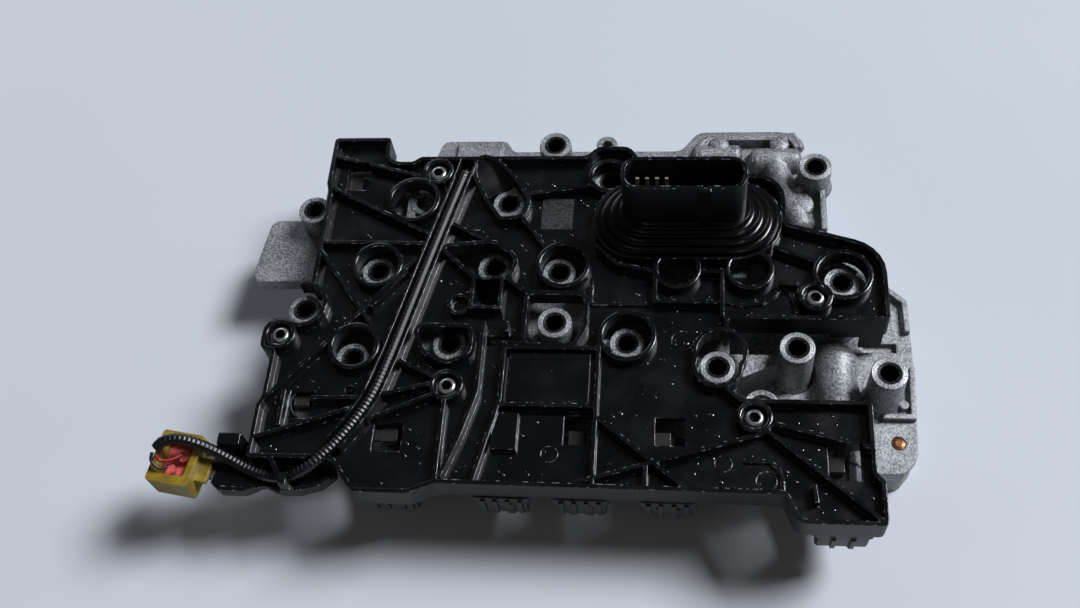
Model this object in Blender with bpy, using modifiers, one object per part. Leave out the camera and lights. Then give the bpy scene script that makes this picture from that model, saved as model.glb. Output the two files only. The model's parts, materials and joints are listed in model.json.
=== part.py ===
"""Transmission valve body: two aluminium castings with a steel sheet between them, five spool
valves worked by solenoids, and a black conductor plate on top that carries the main connector
and a braided lead to a small yellow connector.

The frame: the part rests on its underside at Z = 0, X runs along its long side, Y points to
its back edge. Plan places below are in millimetres from the bolt tower in the middle bay.
"""

import math

import bmesh
import bpy
from mathutils import Matrix, Vector

MM = 0.001
COLLECTION_NAME = "transmission_valve_body"

# Place of the middle bay's tower in the part's own frame
FRAME_X = 7.555 * MM
FRAME_Y = -11.75 * MM

# Layers, from the underside up
FIT_GAP = 0.3 * MM
LOWER_HEIGHT = 12.0 * MM
SHEET_THICKNESS = 1.0 * MM
DECK_HEIGHT = 13.4 * MM
FLANGE_THICKNESS = 4.0 * MM
PLATE_ROOM = 8.2 * MM
SKIN_THICKNESS = 2.5 * MM
RIB_HEIGHT = 4.0 * MM
SKIRT_DEPTH = 4.5 * MM

SHEET_Z = LOWER_HEIGHT + FIT_GAP
UPPER_Z = SHEET_Z + SHEET_THICKNESS + FIT_GAP
DECK_Z = UPPER_Z + DECK_HEIGHT
FLANGE_Z = UPPER_Z + FLANGE_THICKNESS
BORE_Z = UPPER_Z + DECK_HEIGHT / 2
POST_Z = DECK_Z + PLATE_ROOM
SKIN_Z = POST_Z + FIT_GAP
SKIN_TOP = SKIN_Z + SKIN_THICKNESS
RIB_TOP = SKIN_TOP + RIB_HEIGHT
SKIRT_Z = SKIN_Z - SKIRT_DEPTH
OPEN_TOWER_Z = SKIN_TOP + 2.0 * MM
BITE = 0.5 * MM

# Bolt towers: plan place, and whether the tower stands clear of the plate
TOWER_RADIUS = 6.4 * MM
TOWER_HOLE_RADIUS = 3.5 * MM
OPEN_TOWERS = [(-7.2, 82.6), (95.7, 71.4), (86.0, -9.2), (57.6, -17.5), (117.5, -18.8), (-2.3, 0.0)]
COVERED_TOWERS = [
    (-104.4, 54.0),
    (-100.4, 7.0),
    (-73.6, 24.6),
    (-78.2, -13.8),
    (-41.9, -7.2),
    (-27.8, 26.4),
    (-24.6, 56.9),
    (-2.4, 24.8),
    (24.6, -5.7),
    (103.5, 21.3),
    (15.5, 68.0),
]
EDGE_TOWER = (73.5, -28.0)
SMALL_TOWER = (13.4, 86.4)
SMALL_TOWER_RADIUS = 4.3 * MM
SMALL_TOWER_HOLE = 2.2 * MM
TOWER_MARGIN = 7.2
SMALL_TOWER_MARGIN = 3.4

# Castings: corners in plan with their fillet radii, and a back edge that clears the towers by it
BACK_EDGE_Y = max(OPEN_TOWERS[0][1] + TOWER_MARGIN, SMALL_TOWER[1] + SMALL_TOWER_MARGIN)
BACK_CORNERS = [
    (-104.0, -40.0, 3),
    (-104.0, 84.0, 4),
    (-60.0, 84.0, 3),
    (-57.0, 95.5, 4),
    (-29.0, 95.5, 4),
    (-26.0, BACK_EDGE_Y, 2),
    (43.0, BACK_EDGE_Y, 4),
    (50.0, 99.5, 6),
    (92.0, 99.5, 9),
    (92.0, 79.0, 2),
    (101.4, 77.0, 2),
    (101.4, 46.0, 2),
]
FLANGE_CORNERS = [
    (110.0, 42.0, 4),
    (118.5, 33.2, 3),
    (129.9, 22.6, 2),
    (130.4, -10.0, 6),
    (129.0, -41.0, 3),
    (123.8, -47.6, 4),
    (90.0, -47.6, 1),
    (90.0, -40.0, 1),
]
DECK_CORNERS = [(116.5, 34.0, 6), (116.5, 12.0, 3), (105.0, 3.6, 3), (63.0, 3.6, 3), (63.0, -39.4, 2)]
DECK_STEP = 0.6 * MM
TAB_OUTLINE = [(-125.0, 55.6, 4), (-102.0, 55.4, 1), (-102.0, 26.3, 1), (-129.0, 25.8, 4)]
TAB_THICKNESS = 6.0 * MM
TAB_DROP = 2.0 * MM
CASTING_STEP = 0.6 * MM
WEB_OUTLINE = [(60.0, -8.0, 1), (82.0, -8.0, 1), (82.0, -10.4, 1), (60.0, -20.4, 1)]
WEB_Z = DECK_Z + 5.0 * MM

# Narrow rims and a small boss on the low flange at the right, and the slot beside its tower
FLANGE_RIMS = [
    [(120.8, 29.4), (128.6, 22.0), (128.8, 9.2)],
    [(129.2, -6.0), (128.4, -26.0), (117.6, -26.0)],
]
FLANGE_RIM_WIDTH = 1.9 * MM
FLANGE_RIM_Z = FLANGE_Z + 2.6 * MM
FLANGE_BOSS = (125.3, -21.4)
FLANGE_BOSS_RADIUS = 1.7 * MM
FLANGE_SLOT = [(112.0, 3.2), (124.6, 3.2)]
FLANGE_SLOT_WIDTH = 3.8 * MM
FLANGE_SLOT_DEPTH = 2.4 * MM

# Oil galleries that stand out of the deck as half-round ridges, and what stands beside them
GALLERY_RADIUS = 5.2 * MM
GALLERY_Z = DECK_Z + 0.6 * MM
GALLERIES = [
    ((49.5, 85.0), (67.0, 85.0)),
    ((72.0, 82.9), (90.6, 82.9)),
    ((81.0, 82.0), (85.6, 63.0)),
    ((85.6, 63.0), (90.5, 50.0)),
]
BACK_RIM = [(51.0, 88.0), (54.5, 93.2), (88.0, 93.2), (91.0, 88.0)]
BACK_RIM_WIDTH = 3.6 * MM
BACK_RIM_Z = DECK_Z + 4.4 * MM
BACK_PAD = (-49.6, 80.0, -31.0, 93.0)
BACK_PAD_Z = DECK_Z + 2.0 * MM
DECK_BOSS_Z = DECK_Z + 5.6 * MM
DECK_BOSSES = [(58.8, 88.4, 3.8), (82.8, 88.6, 3.8), (89.8, 59.0, 5.4), (-60.2, 59.2, 5.4)]
DECK_BOSS_HOLLOW = (-59.6, 59.6, 3.8)
DECK_WEBS = [
    ([(-65.0, 52.0), (-65.0, 67.0)], 3.4),
    ([(-84.0, 27.0), (-73.6, 24.6)], 5.6),
    ([(-56.0, -3.6), (-41.9, -7.2)], 6.4),
    ([(-27.0, -2.2), (-12.5, -2.2)], 3.0),
    ([(13.5, -3.6), (24.6, -5.7)], 3.0),
    ([(95.7, 71.4), (86.0, 62.0)], 3.0),
    ([(98.9, 66.0), (98.9, 47.5)], 2.0),
    ([(61.5, 26.8), (69.0, 26.8)], 3.6),
    ([(101.0, 33.2), (109.8, 27.0)], 2.4),
]
TRACK_DEPTH = 5.0 * MM
TRACK_WIDTH = 5.0 * MM
TRACKS = [
    [(-92.0, 70.0), (-60.0, 70.0), (-60.0, 52.0)],
    [(-88.0, 30.0), (-88.0, -4.0), (-68.0, -4.0)],
    [(-40.0, 60.0), (-40.0, 20.0), (-14.0, 12.0)],
    [(-10.0, 62.0), (10.0, 45.0), (40.0, 45.0)],
    [(32.0, 10.0), (60.0, 10.0), (60.0, 26.0), (84.0, 26.0)],
    [(-30.0, -28.0), (-14.0, -28.0)],
    [(25.0, -28.0), (56.0, -32.0)],
    [(60.0, 62.0), (84.0, 62.0)],
]

# Spool valves in a row along the front, each with its solenoid
VALVES = [(-58.0, -40.0), (-18.0, -40.0), (10.0, -40.0), (40.5, -40.0), (100.0, -47.6)]
BORE_RADIUS = 4.5 * MM
BORE_LENGTH = 48.0 * MM
BORE_WALL = 2.0 * MM
RIDGE_RADIUS = 7.2 * MM
RIDGE_SHIFT = 1.2 * MM
RIDGE_RISE = 0.8 * MM
NOSE_LENGTH = 8.0 * MM
SPOOL_LENGTH = 26.0 * MM
SPOOL_STROKE = 4.0 * MM
SPOOL_NECK_RADIUS = 2.6 * MM
SPOOL_LAND = 4.5 * MM
RUNNING_CLEARANCE = 0.05 * MM
SPRING_WIRE = 0.5 * MM
SPRING_COIL_RADIUS = 3.1 * MM
SPRING_TURNS = 3
SPRING_STEPS = 7
CAN_RADIUS = 8.4 * MM
CAN_LENGTH = 21.0 * MM
CAP_WIDTH = 17.6 * MM
CAP_DEPTH = 4.6 * MM
CAP_DROP = 12.0 * MM
CAP_RIB = 0.8 * MM
SPINE_WIDTH = 5.0 * MM
TERMINAL_WIDTH = 5.6 * MM
TERMINAL_LENGTH = 6.0 * MM
TERMINAL_SHIFT = -2.0 * MM

# Two solenoids that stand upright in the left end of the upper casting
UPRIGHT_SOLENOIDS = [(-88.0, 66.5), (-93.6, -30.6)]
UPRIGHT_RADIUS = 7.0 * MM
UPRIGHT_DEPTH = 9.0 * MM
UPRIGHT_RISE = 4.2 * MM

# Bolts that hold the castings together, put in from below
CASTING_BOLTS = [(-88.0, 45.0), (-72.0, -30.0), (-43.0, 46.0), (57.0, 40.0), (87.0, 38.0)]
BOLT_SHANK_RADIUS = 3.0 * MM
BOLT_HEAD_RADIUS = 5.6 * MM
BOLT_HEAD_HEIGHT = 5.0 * MM
BOLT_RECESS = 6.5 * MM
BOLT_REACH = 8.0 * MM
DOWELS = [(-90.0, 20.0), (74.0, 60.0)]
DOWEL_RADIUS = 2.5 * MM
DOWEL_REACH = 5.0 * MM

GALLERY_PLUG = (122.6, -35.6)
PLUG_RADIUS = 2.4 * MM
PLUG_LENGTH = 3.4 * MM

# Conductor plate: corners in plan with their fillet radii
PLATE_OUTLINE = [
    (-98.8, 85.5, 1.5),
    (-75.0, 85.5, 1.5),
    (-75.0, 73.2, 6),
    (-64.5, 73.2, 2),
    (-61.5, 75.7, 2),
    (6.0, 75.7, 3),
    (10.5, 80.4, 5),
    (23.5, 80.4, 6),
    (31.0, 66.5, 3),
    (83.5, 66.5, 19.5),
    (83.5, 43.6, 2),
    (119.2, 33.0, 15),
    (119.2, 1.5, 1.5),
    (61.5, 1.5, 1),
    (61.5, -26.5, 3),
    (66.5, -30.7, 1.5),
    (110.5, -30.7, 1.5),
    (110.5, -57.5, 1),
    (113.2, -60.5, 1),
    (113.2, -76.0, 2),
    (84.0, -76.0, 4),
    (79.5, -66.0, 2),
    (-40.0, -65.5, 3),
    (-49.0, -69.5, 4),
    (-69.0, -69.5, 4),
    (-78.5, -57.5, 3),
    (-109.3, -57.5, 1.5),
    (-109.3, -37.0, 1.5),
    (-107.8, -33.0, 1.5),
    (-107.8, -14.5, 1),
    (-112.6, -13.6, 5),
    (-112.6, -0.4, 6),
    (-97.3, -0.4, 1),
    (-97.3, 57.5, 2),
    (-98.8, 62.5, 2),
]
WALL = 1.6 * MM
COLLARED_HOLES = [
    (-62.0, 54.8, 9.0),
    (-72.6, 24.0, 8.4),
    (-76.6, -11.8, 8.2),
    (-0.4, 24.4, 8.8),
    (25.0, -6.0, 9.0),
    (69.5, 23.0, 7.4),
    (42.7, 23.0, 7.3),
    (103.4, 21.0, 9.3),
    (15.6, 66.0, 6.6),
    (-99.5, 6.0, 8.4),
    (58.6, -11.8, 8.4),
    (57.6, -17.6, 7.6),
]
DROP_CAVITIES = [
    [
        (-38.2, 73.6, 1),
        (-35.0, 75.4, 2),
        (-29.0, 72.0, 8),
        (-20.5, 62.0, 12),
        (-16.0, 54.0, 6),
        (-18.0, 47.2, 4),
        (-26.2, 46.2, 1),
        (-33.4, 57.4, 20),
        (-38.2, 67.4, 8),
    ],
    [(-47.5, 32.0, 1), (-28.0, 34.0, 5), (-18.6, 27.0, 5), (-21.0, 19.0, 4), (-32.0, 17.4, 3)],
    [(-54.0, -3.4, 2), (-33.4, -3.4, 3), (-33.4, -14.0, 4), (-41.0, -17.4, 3), (-49.0, -14.0, 2)],
]
LEAF_RAMP = [(-38.6, 74.0), (-35.0, 75.8), (-29.0, 72.4), (-23.6, 66.0), (-34.4, 58.6), (-38.6, 67.6)]
RAMP_HIGH = (-37.0, 74.0, 41.0)
RAMP_FALL = (0.25, 0.33)
RAMP_THICKNESS = 1.4 * MM
NOTCH = (-113.0, -0.6, -101.6, 18.0)
BAY_OUTLINE = [(-12.5, 11.0, 2), (8.6, 11.0, 3), (8.6, -3.0, 3), (5.0, -9.6, 2), (-12.5, -9.6, 2)]
WINDOWS = [
    (-91.9, 61.9, -82.3, 73.0),
    (-98.5, -40.2, -89.4, -29.0),
    (-65.1, -52.3, -54.5, -41.2),
    (3.6, -48.2, 13.4, -37.1),
    (35.9, -47.7, 46.5, -37.1),
    (95.0, -58.9, 106.1, -46.8),
    (-27.4, -9.2, -13.8, -5.0),
]
PLAIN_HOLES = [(-76.3, -28.5, 1.9)]
RIBS = [
    [(-97.6, 76.3), (-50.5, 63.4)],
    [(-96.6, 60.5), (-54.4, 38.6)],
    [(-96.6, 34.3), (-52.8, 33.7)],
    [(-96.6, 31.0), (-75.8, 3.3), (-65.0, -10.5)],
    [(-108.2, -35.5), (-75.8, 3.3), (-57.4, 27.0)],
    [(-90.0, -33.5), (-70.6, -33.2)],
    [(-108.4, -49.8), (-74.6, -37.6)],
    [(-62.8, -31.5), (-44.6, -26.6)],
    [(-66.4, -41.5), (-44.6, -31.2)],
    [(-58.6, -17.5), (-44.6, -24.3)],
    [(-40.0, -32.0), (-40.0, -64.6)],
    [(-19.4, 48.4), (-7.2, 31.4)],
    [(-15.2, 57.3), (9.6, 61.4)],
    [(14.8, -3.0), (14.8, -64.6)],
    [(14.8, -38.6), (46.5, -64.6)],
    [(9.5, -63.6), (72.0, -44.2), (76.0, -40.5)],
    [(33.0, -56.2), (33.0, -64.6)],
    [(59.3, 23.0), (59.3, 2.3)],
    [(34.6, 21.6), (34.6, 8.6), (59.3, 8.6)],
    [(12.0, 33.0), (20.0, 25.0), (34.6, 21.6)],
    [(49.6, 21.8), (59.3, 21.8)],
    [(75.5, -39.6), (109.6, -48.2)],
    [(74.2, -42.4), (112.2, -75.0)],
    [(-28.5, -0.8), (-28.5, -30.0), (-33.0, -47.0), (-38.6, -63.0)],
    [(-19.8, -0.8), (-19.8, -32.5), (-23.6, -49.5), (-27.0, -64.6)],
    [(-19.8, -11.4), (14.8, -11.4)],
    [(-19.8, -34.6), (14.8, -34.6)],
    [(-22.0, 18.4), (-13.4, 12.0), (8.6, 12.0)],
    [(80.0, 17.0), (87.0, 16.4)],
    [(78.6, 33.0), (94.6, 26.0)],
    [(-47.0, 44.2), (-29.6, 34.6)],
    [(-72.6, 5.2), (-60.4, 21.0)],
    [(-99.8, -30.6), (-99.8, -44.6)],
    [(89.6, -62.0), (90.2, -68.6)],
]
LOW_RIBS = [
    [(66.5, -53.0), (75.0, -53.0), (78.2, -55.4), (79.3, -60.0), (79.3, -64.4)],
    [(61.0, 10.4), (67.0, 8.8), (74.0, 10.2), (78.6, 13.6), (81.2, 16.8), (84.2, 16.2), (86.4, 6.0)],
    [(10.6, 20.5), (10.6, 9.0), (33.0, 9.0)],
]
LOW_RIB_HEIGHT = 1.0 * MM
LAND = (-21.8, -51.6, -12.6, -37.4)
LAND_HEIGHT = 2.6 * MM
HANGING_WALLS = [((98.8, 1.6, 118.0, 3.4), 28.8), ((110.0, 1.6, 118.0, 3.4), 21.2)]
RIB_THICKNESS = 1.5 * MM
PANEL = (-17.6, -33.0, 12.0, -13.0)
PANEL_HEIGHT = 2.2 * MM
SOCKET = (-34.6, 4.2, -22.4, 18.2)
SOCKET_WALL = 1.3 * MM
DIMPLE = (-38.6, 7.0)
DIMPLE_RADIUS = 4.6 * MM

# Screws that hold the conductor plate to posts of the upper casting
PLATE_SCREWS = [(-53.7, 68.6), (-106.0, -7.0), (-39.8, -27.2), (93.2, 11.5), (70.3, -37.4)]
POST_RADIUS = 4.6 * MM
BOSS_RADIUS = 6.2 * MM
BOSS_CUP_RADIUS = 4.7 * MM
SCREW_SHANK_RADIUS = 2.0 * MM
SCREW_HEAD_RADIUS = 3.5 * MM
SCREW_HEAD_HEIGHT = 2.8 * MM
SCREW_LENGTH = 16.0 * MM
DRIVE_RADIUS = 1.6 * MM
DRIVE_DEPTH = 1.6 * MM

# Main connector
CONNECTOR = (46.0, 45.0)
BASE_SIZE = (72.0 * MM, 36.0 * MM)
BASE_HEIGHT = 4.2 * MM
SHROUD = (45.0, 45.0)
SHROUD_SIZE = (45.7 * MM, 14.6 * MM)
SHROUD_CORNER = 6.0 * MM
SHROUD_WALL = 1.5 * MM
SHROUD_TOP = SKIN_TOP + 34.0 * MM
SOCKET_FLOOR = SKIN_TOP + 9.0 * MM
SEAL_STEPS = 4
SEAL_STEP_HEIGHT = 2.2 * MM
SEAL_STEP_IN = 2.2 * MM
SEAL_MARGIN = 1.5 * MM
KEY_SHIFT = 7.6 * MM
KEY_WIDTH = 4.4 * MM
KEY_DEPTH = 12.0 * MM
KEY_FLOOR = 2.0 * MM
PIN_COUNT = 4
PIN_PITCH = 3.6 * MM
PIN_MARGIN = 4.15 * MM
PIN_SHIFT = 2.0 * MM
PIN_SIZE = (1.3 * MM, 0.8 * MM)
PIN_TOP = SHROUD_TOP - 6.0 * MM
PIN_BAR_HEIGHT = 1.2 * MM

# Lead: the sleeve's route in plan and height, from the plate to the yellow connector
SLEEVE_RADIUS = 2.1 * MM
CHANNEL_CLEARANCE = 0.5 * MM
CHANNEL_WALL = 1.0 * MM
CLEAR_WIDTH = 2 * (SLEEVE_RADIUS + CHANNEL_CLEARANCE)
LANE_Z = (SKIN_TOP + SLEEVE_RADIUS) / MM + 0.3
CHANNEL_ROUTE = [
    (-41.4, 73.8),
    (-43.6, 64.6),
    (-50.8, 35.0),
    (-58.2, 3.0),
    (-62.5, -15.5),
    (-66.8, -31.0),
    (-72.4, -42.5),
    (-78.4, -51.6),
]
LEAD_START = [(-42.3, 70.6, 34.4), (-42.3, 70.6, 36.8)]
LEAD_END = [
    (-84.5, -58.4, 40.4),
    (-89.5, -61.6, 39.2),
    (-95.0, -63.0, 37.2),
    (-103.0, -62.2, 36.9),
    (-109.5, -60.2, 37.4),
    (-115.5, -57.6, 38.9),
    (-121.5, -55.4, 41.4),
    (-127.5, -53.9, 44.3),
    (-133.5, -53.3, 46.3),
    (-138.6, -54.4, 46.8),
    (-141.6, -57.0, 45.8),
]
LEAD_ENTRY = [(-41.9, 73.4), (-43.9, 64.6)]
ENTRY_WIDTH = 5.4 * MM
GROMMET_RADIUS = 3.2 * MM
GROMMET_HEIGHT = 4.0 * MM
GUTTER_OUTLINE = [
    (-123.4, -64.4, 2),
    (-119.0, -68.2, 3),
    (-110.0, -68.4, 4),
    (-103.4, -65.0, 3),
    (-97.0, -67.8, 2),
    (-90.0, -67.6, 4),
    (-82.6, -65.4, 4),
    (-77.0, -60.6, 2),
    (-80.0, -55.0, 1),
    (-108.0, -55.0, 1),
    (-112.0, -48.2, 1),
    (-124.0, -48.2, 1),
    (-124.0, -54.4, 1),
    (-129.4, -54.4, 1),
    (-129.4, -62.4, 1),
    (-124.0, -62.4, 1),
]
GUTTER_THICKNESS = 3.0 * MM
LIP_HEIGHT = 2.2 * MM
LIPS = [
    [(-122.2, -64.8), (-118.6, -67.3), (-110.2, -67.5), (-106.5, -65.8)],
    [(-96.8, -66.9), (-90.2, -66.7), (-83.2, -64.7), (-79.4, -61.8)],
]
FIN = [(-100.6, -56.6), (-94.4, -67.2)]
FIN_Z = 39.6 * MM
CLIP_BOX = (-120.8, -53.0, -112.6, -48.6)
TONGUE_ROOM = (-129.8, -62.8, -118.0, -54.0)
WIRE_RADIUS = 0.6 * MM
HOUSING_CENTRE = (-136.0, -58.0)
HOUSING_SIZE = (16.4, 20.0)
HOUSING_TURN = -9.0
HOUSING_HEIGHT = 11.5 * MM
HOUSING_POCKET = (11.0, 13.0)
POCKET_DEPTH = 7.0 * MM
SLAB_SIZE = (8.0, 9.0)
SLAB_CENTRE = (8.4, -1.2)
SLAB_THICKNESS = 2.2 * MM
SEAL_TOWERS = [(-0.9, -4.2), (2.5, 1.4)]
SEAL_TOWER_RADIUS = 2.2 * MM
WIRE_STARTS = [
    [(-142.8, -58.0, 45.2), (-142.9, -60.8, 44.0), (-140.4, -62.8, 42.2)],
    [(-141.2, -59.0, 45.3), (-140.0, -60.4, 43.7), (-136.4, -59.6, 42.2)],
]

ARC_ERROR = 0.15 * MM
ROUND_SIDES = 16
HOLE_SIDES = 12
SMALL_SIDES = 10

# The exact solver leaves edges open where this piece's many walls cross
MANIFOLD_TARGETS = ("conductor_plate",)

MATERIALS = {
    "cast_aluminium": ((0.62, 0.63, 0.64), 0.45, 1.0),
    "steel_sheet": ((0.45, 0.46, 0.47), 0.35, 1.0),
    "spool_aluminium": ((0.50, 0.52, 0.50), 0.3, 1.0),
    "bolt_steel": ((0.55, 0.56, 0.58), 0.3, 1.0),
    "spring_steel": ((0.40, 0.40, 0.42), 0.3, 1.0),
    "black_nylon": ((0.012, 0.014, 0.018), 0.3, 0.0),
    "grey_nylon": ((0.10, 0.10, 0.10), 0.45, 0.0),
    "black_rubber": ((0.010, 0.010, 0.012), 0.5, 0.0),
    "can_steel": ((0.35, 0.35, 0.36), 0.4, 1.0),
    "pin_brass": ((0.75, 0.62, 0.36), 0.3, 1.0),
    "copper": ((0.65, 0.33, 0.20), 0.35, 1.0),
    "braid": ((0.03, 0.03, 0.045), 0.7, 0.0),
    "yellow_nylon": ((0.70, 0.52, 0.12), 0.3, 0.0),
    "pink_rubber": ((0.75, 0.30, 0.28), 0.5, 0.0),
    "dark_wire": ((0.04, 0.02, 0.02), 0.4, 0.0),
    "red_wire": ((0.45, 0.03, 0.03), 0.4, 0.0),
}


def clear_scene():
    for obj in list(bpy.data.objects):
        bpy.data.objects.remove(obj, do_unlink=True)


def make_collection(name, helper):
    made = bpy.data.collections.new(name)
    bpy.context.scene.collection.children.link(made)
    made.hide_render = helper
    return made


def material(name):
    """The named material, made on first use."""
    made = bpy.data.materials.get(name)
    if made is None:
        colour, roughness, metallic = MATERIALS[name]
        made = bpy.data.materials.new(name)
        made.use_nodes = True
        shader = made.node_tree.nodes["Principled BSDF"]
        shader.inputs["Base Color"].default_value = (*colour, 1.0)
        shader.inputs["Roughness"].default_value = roughness
        shader.inputs["Metallic"].default_value = metallic
    return made


def add_object(name, mesh, location=(0.0, 0.0, 0.0)):
    """A new object under the part's frame, not yet in any of its collections."""
    obj = bpy.data.objects.new(name, mesh)
    obj.location = location
    obj.parent = frame_empty
    bpy.context.scene.collection.objects.link(obj)
    return obj


def move_to(obj, target):
    for owner in list(obj.users_collection):
        owner.objects.unlink(obj)
    target.objects.link(obj)


def finish(obj, material_name, smooth_angle=35.0):
    """Makes an object one of the part's pieces."""
    obj.data.materials.clear()
    obj.data.materials.append(material(material_name))
    if obj.type == "MESH":
        obj.data.shade_smooth()
        obj.data.set_sharp_from_angle(angle=math.radians(smooth_angle))
    move_to(obj, parts)
    return obj


def combine(target, helpers, operation, label):
    """Sets helpers aside to be united with the target, or cut from it, by one Boolean."""
    group = bpy.data.collections.new(f"{target.name}_{label}")
    cutters.children.link(group)
    for helper in helpers:
        helper.display_type = "WIRE"
        helper.hide_render = True
        move_to(helper, group)
    waiting.append((target, group, operation, label))


def unite(target, helpers, label="added"):
    combine(target, helpers, "UNION", label)


def cut(target, helpers, label="cut"):
    combine(target, helpers, "DIFFERENCE", label)


def add_booleans():
    """Adds every Boolean at the end, because drawing an outline evaluates all that exist."""
    for target, group, operation, label in waiting:
        modifier = target.modifiers.new(label, "BOOLEAN")
        modifier.operand_type = "COLLECTION"
        modifier.collection = group
        modifier.operation = operation
        if target.name in MANIFOLD_TARGETS:
            modifier.solver = "MANIFOLD"


def from_bmesh(name, bm, location=(0.0, 0.0, 0.0)):
    bmesh.ops.recalc_face_normals(bm, faces=bm.faces)
    mesh = bpy.data.meshes.new(name)
    bm.to_mesh(mesh)
    bm.free()
    return add_object(name, mesh, location)


def box(name, low, high):
    bm = bmesh.new()
    bmesh.ops.create_cube(bm, size=1.0)
    size = Vector(high) - Vector(low)
    middle = (Vector(high) + Vector(low)) / 2
    bmesh.ops.transform(bm, matrix=Matrix.Diagonal((*size, 1.0)), verts=bm.verts)
    return from_bmesh(name, bm, middle)


def rod(name, start, end, radius, sides=ROUND_SIDES):
    """A cylinder between two points, in any direction."""
    start, end = Vector(start), Vector(end)
    bm = bmesh.new()
    bmesh.ops.create_cone(
        bm,
        cap_ends=True,
        segments=sides,
        radius1=radius,
        radius2=radius,
        depth=(end - start).length,
    )
    turn = Vector((0, 0, 1)).rotation_difference(end - start).to_matrix()
    bmesh.ops.rotate(bm, matrix=turn, verts=bm.verts)
    return from_bmesh(name, bm, (start + end) / 2)


def upright(name, place, radius, low, high, sides=ROUND_SIDES):
    """A cylinder that stands at a plan place, in millimetres."""
    x, y = place[0] * MM, place[1] * MM
    return rod(name, (x, y, low), (x, y, high), radius, sides)


def fillet(before, corner, after, radius):
    """The points of the arc that rounds a corner."""
    towards = (before - corner).normalized()
    onwards = (after - corner).normalized()
    half = towards.angle(onwards) / 2
    reach = min(
        radius / math.tan(half),
        (before - corner).length * 0.49,
        (after - corner).length * 0.49,
    )
    radius = reach * math.tan(half)
    centre = corner + (towards + onwards).normalized() * (radius / math.sin(half))
    first = corner + towards * reach - centre
    last = corner + onwards * reach - centre
    sweep = math.atan2(first.cross(last), first.dot(last))
    least = 2 * math.acos(1 - min(0.9, ARC_ERROR / radius))
    steps = max(1, math.ceil(abs(sweep) / least))
    return [centre + Matrix.Rotation(sweep * i / steps, 2) @ first for i in range(steps + 1)]


def rounded(corners):
    """An outline in metres from corners in millimetres, each with its fillet radius."""
    plain = [Vector((x, y)) * MM for x, y, radius in corners]
    points = []
    for i, (x, y, radius) in enumerate(corners):
        points += fillet(plain[i - 1], plain[i], plain[(i + 1) % len(plain)], radius * MM)
    return points


def offset(points, distance, closed=True):
    """The outline moved to its left by a distance, with mitred corners."""
    moved = []
    count = len(points)
    for i, point in enumerate(points):
        before = points[i - 1] if closed or i else None
        after = points[(i + 1) % count] if closed or i < count - 1 else None
        one = (point - before).normalized() if before is not None else (after - point).normalized()
        two = (after - point).normalized() if after is not None else one
        normal = Vector((-(one.y + two.y), one.x + two.x)).normalized()
        lean = max(0.3, normal.dot(Vector((-one.y, one.x))))
        moved.append(point + normal * distance / lean)
    return moved


def inset(points, distance):
    """The outline drawn in by a distance, whichever way round it runs."""
    area = sum(points[i - 1].cross(points[i]) for i in range(len(points)))
    return offset(points, distance if area > 0 else -distance)


def prism(name, points, low, high):
    """An upright prism over a flat outline."""
    curve = bpy.data.curves.new(name, "CURVE")
    curve.dimensions = "2D"
    curve.fill_mode = "BOTH"
    curve.extrude = (high - low) / 2
    spline = curve.splines.new("POLY")
    spline.points.add(len(points) - 1)
    for target, point in zip(spline.points, points):
        target.co = (point.x, point.y, 0.0, 1.0)
    spline.use_cyclic_u = True
    drawn = add_object(name + "_drawn", curve)
    graph = bpy.context.evaluated_depsgraph_get()
    mesh = bpy.data.meshes.new_from_object(drawn.evaluated_get(graph))
    bpy.data.objects.remove(drawn, do_unlink=True)
    bm = bmesh.new()
    bm.from_mesh(mesh)
    bpy.data.meshes.remove(mesh)
    bmesh.ops.remove_doubles(bm, verts=bm.verts, dist=0.00001)
    return from_bmesh(name, bm, (0.0, 0.0, (low + high) / 2))


def wall(name, places, thickness, low, high):
    """An upright wall along plan places in millimetres."""
    line = [Vector(place) * MM for place in places]
    left = offset(line, thickness / 2, closed=False)
    right = offset(line, -thickness / 2, closed=False)
    return prism(name, left + right[::-1], low, high)


def pad(name, corners, low, high):
    """A rectangular block over a plan rectangle in millimetres."""
    x0, y0, x1, y1 = [value * MM for value in corners]
    return box(name, (x0, y0, low), (x1, y1, high))


def stadium(name, centre, size, low, high, radius=None):
    """A prism over a rectangle with round ends, or with the radius given."""
    half_x, half_y = size[0] / 2 / MM, size[1] / 2 / MM
    corner = (radius or size[1] / 2) / MM * 0.98
    x, y = centre
    corners = [
        (x - half_x, y - half_y, corner),
        (x + half_x, y - half_y, corner),
        (x + half_x, y + half_y, corner),
        (x - half_x, y + half_y, corner),
    ]
    return prism(name, rounded(corners), low, high)


def turned(name, profile, location, along="Z", sides=ROUND_SIDES):
    """A turned solid: the profile is (radius, height) points down its outer side."""
    mesh = bpy.data.meshes.new(name)
    points = [(radius, 0.0, height) for radius, height in profile]
    mesh.from_pydata(points, [(i, i + 1) for i in range(len(points) - 1)], [])
    obj = add_object(name, mesh, location)
    spin = obj.modifiers.new("turn", "SCREW")
    spin.steps = sides
    spin.render_steps = sides
    spin.use_merge_vertices = True
    spin.merge_threshold = 0.00001
    if along == "Y":
        obj.rotation_euler = (-math.pi / 2, 0.0, 0.0)
    return obj


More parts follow.
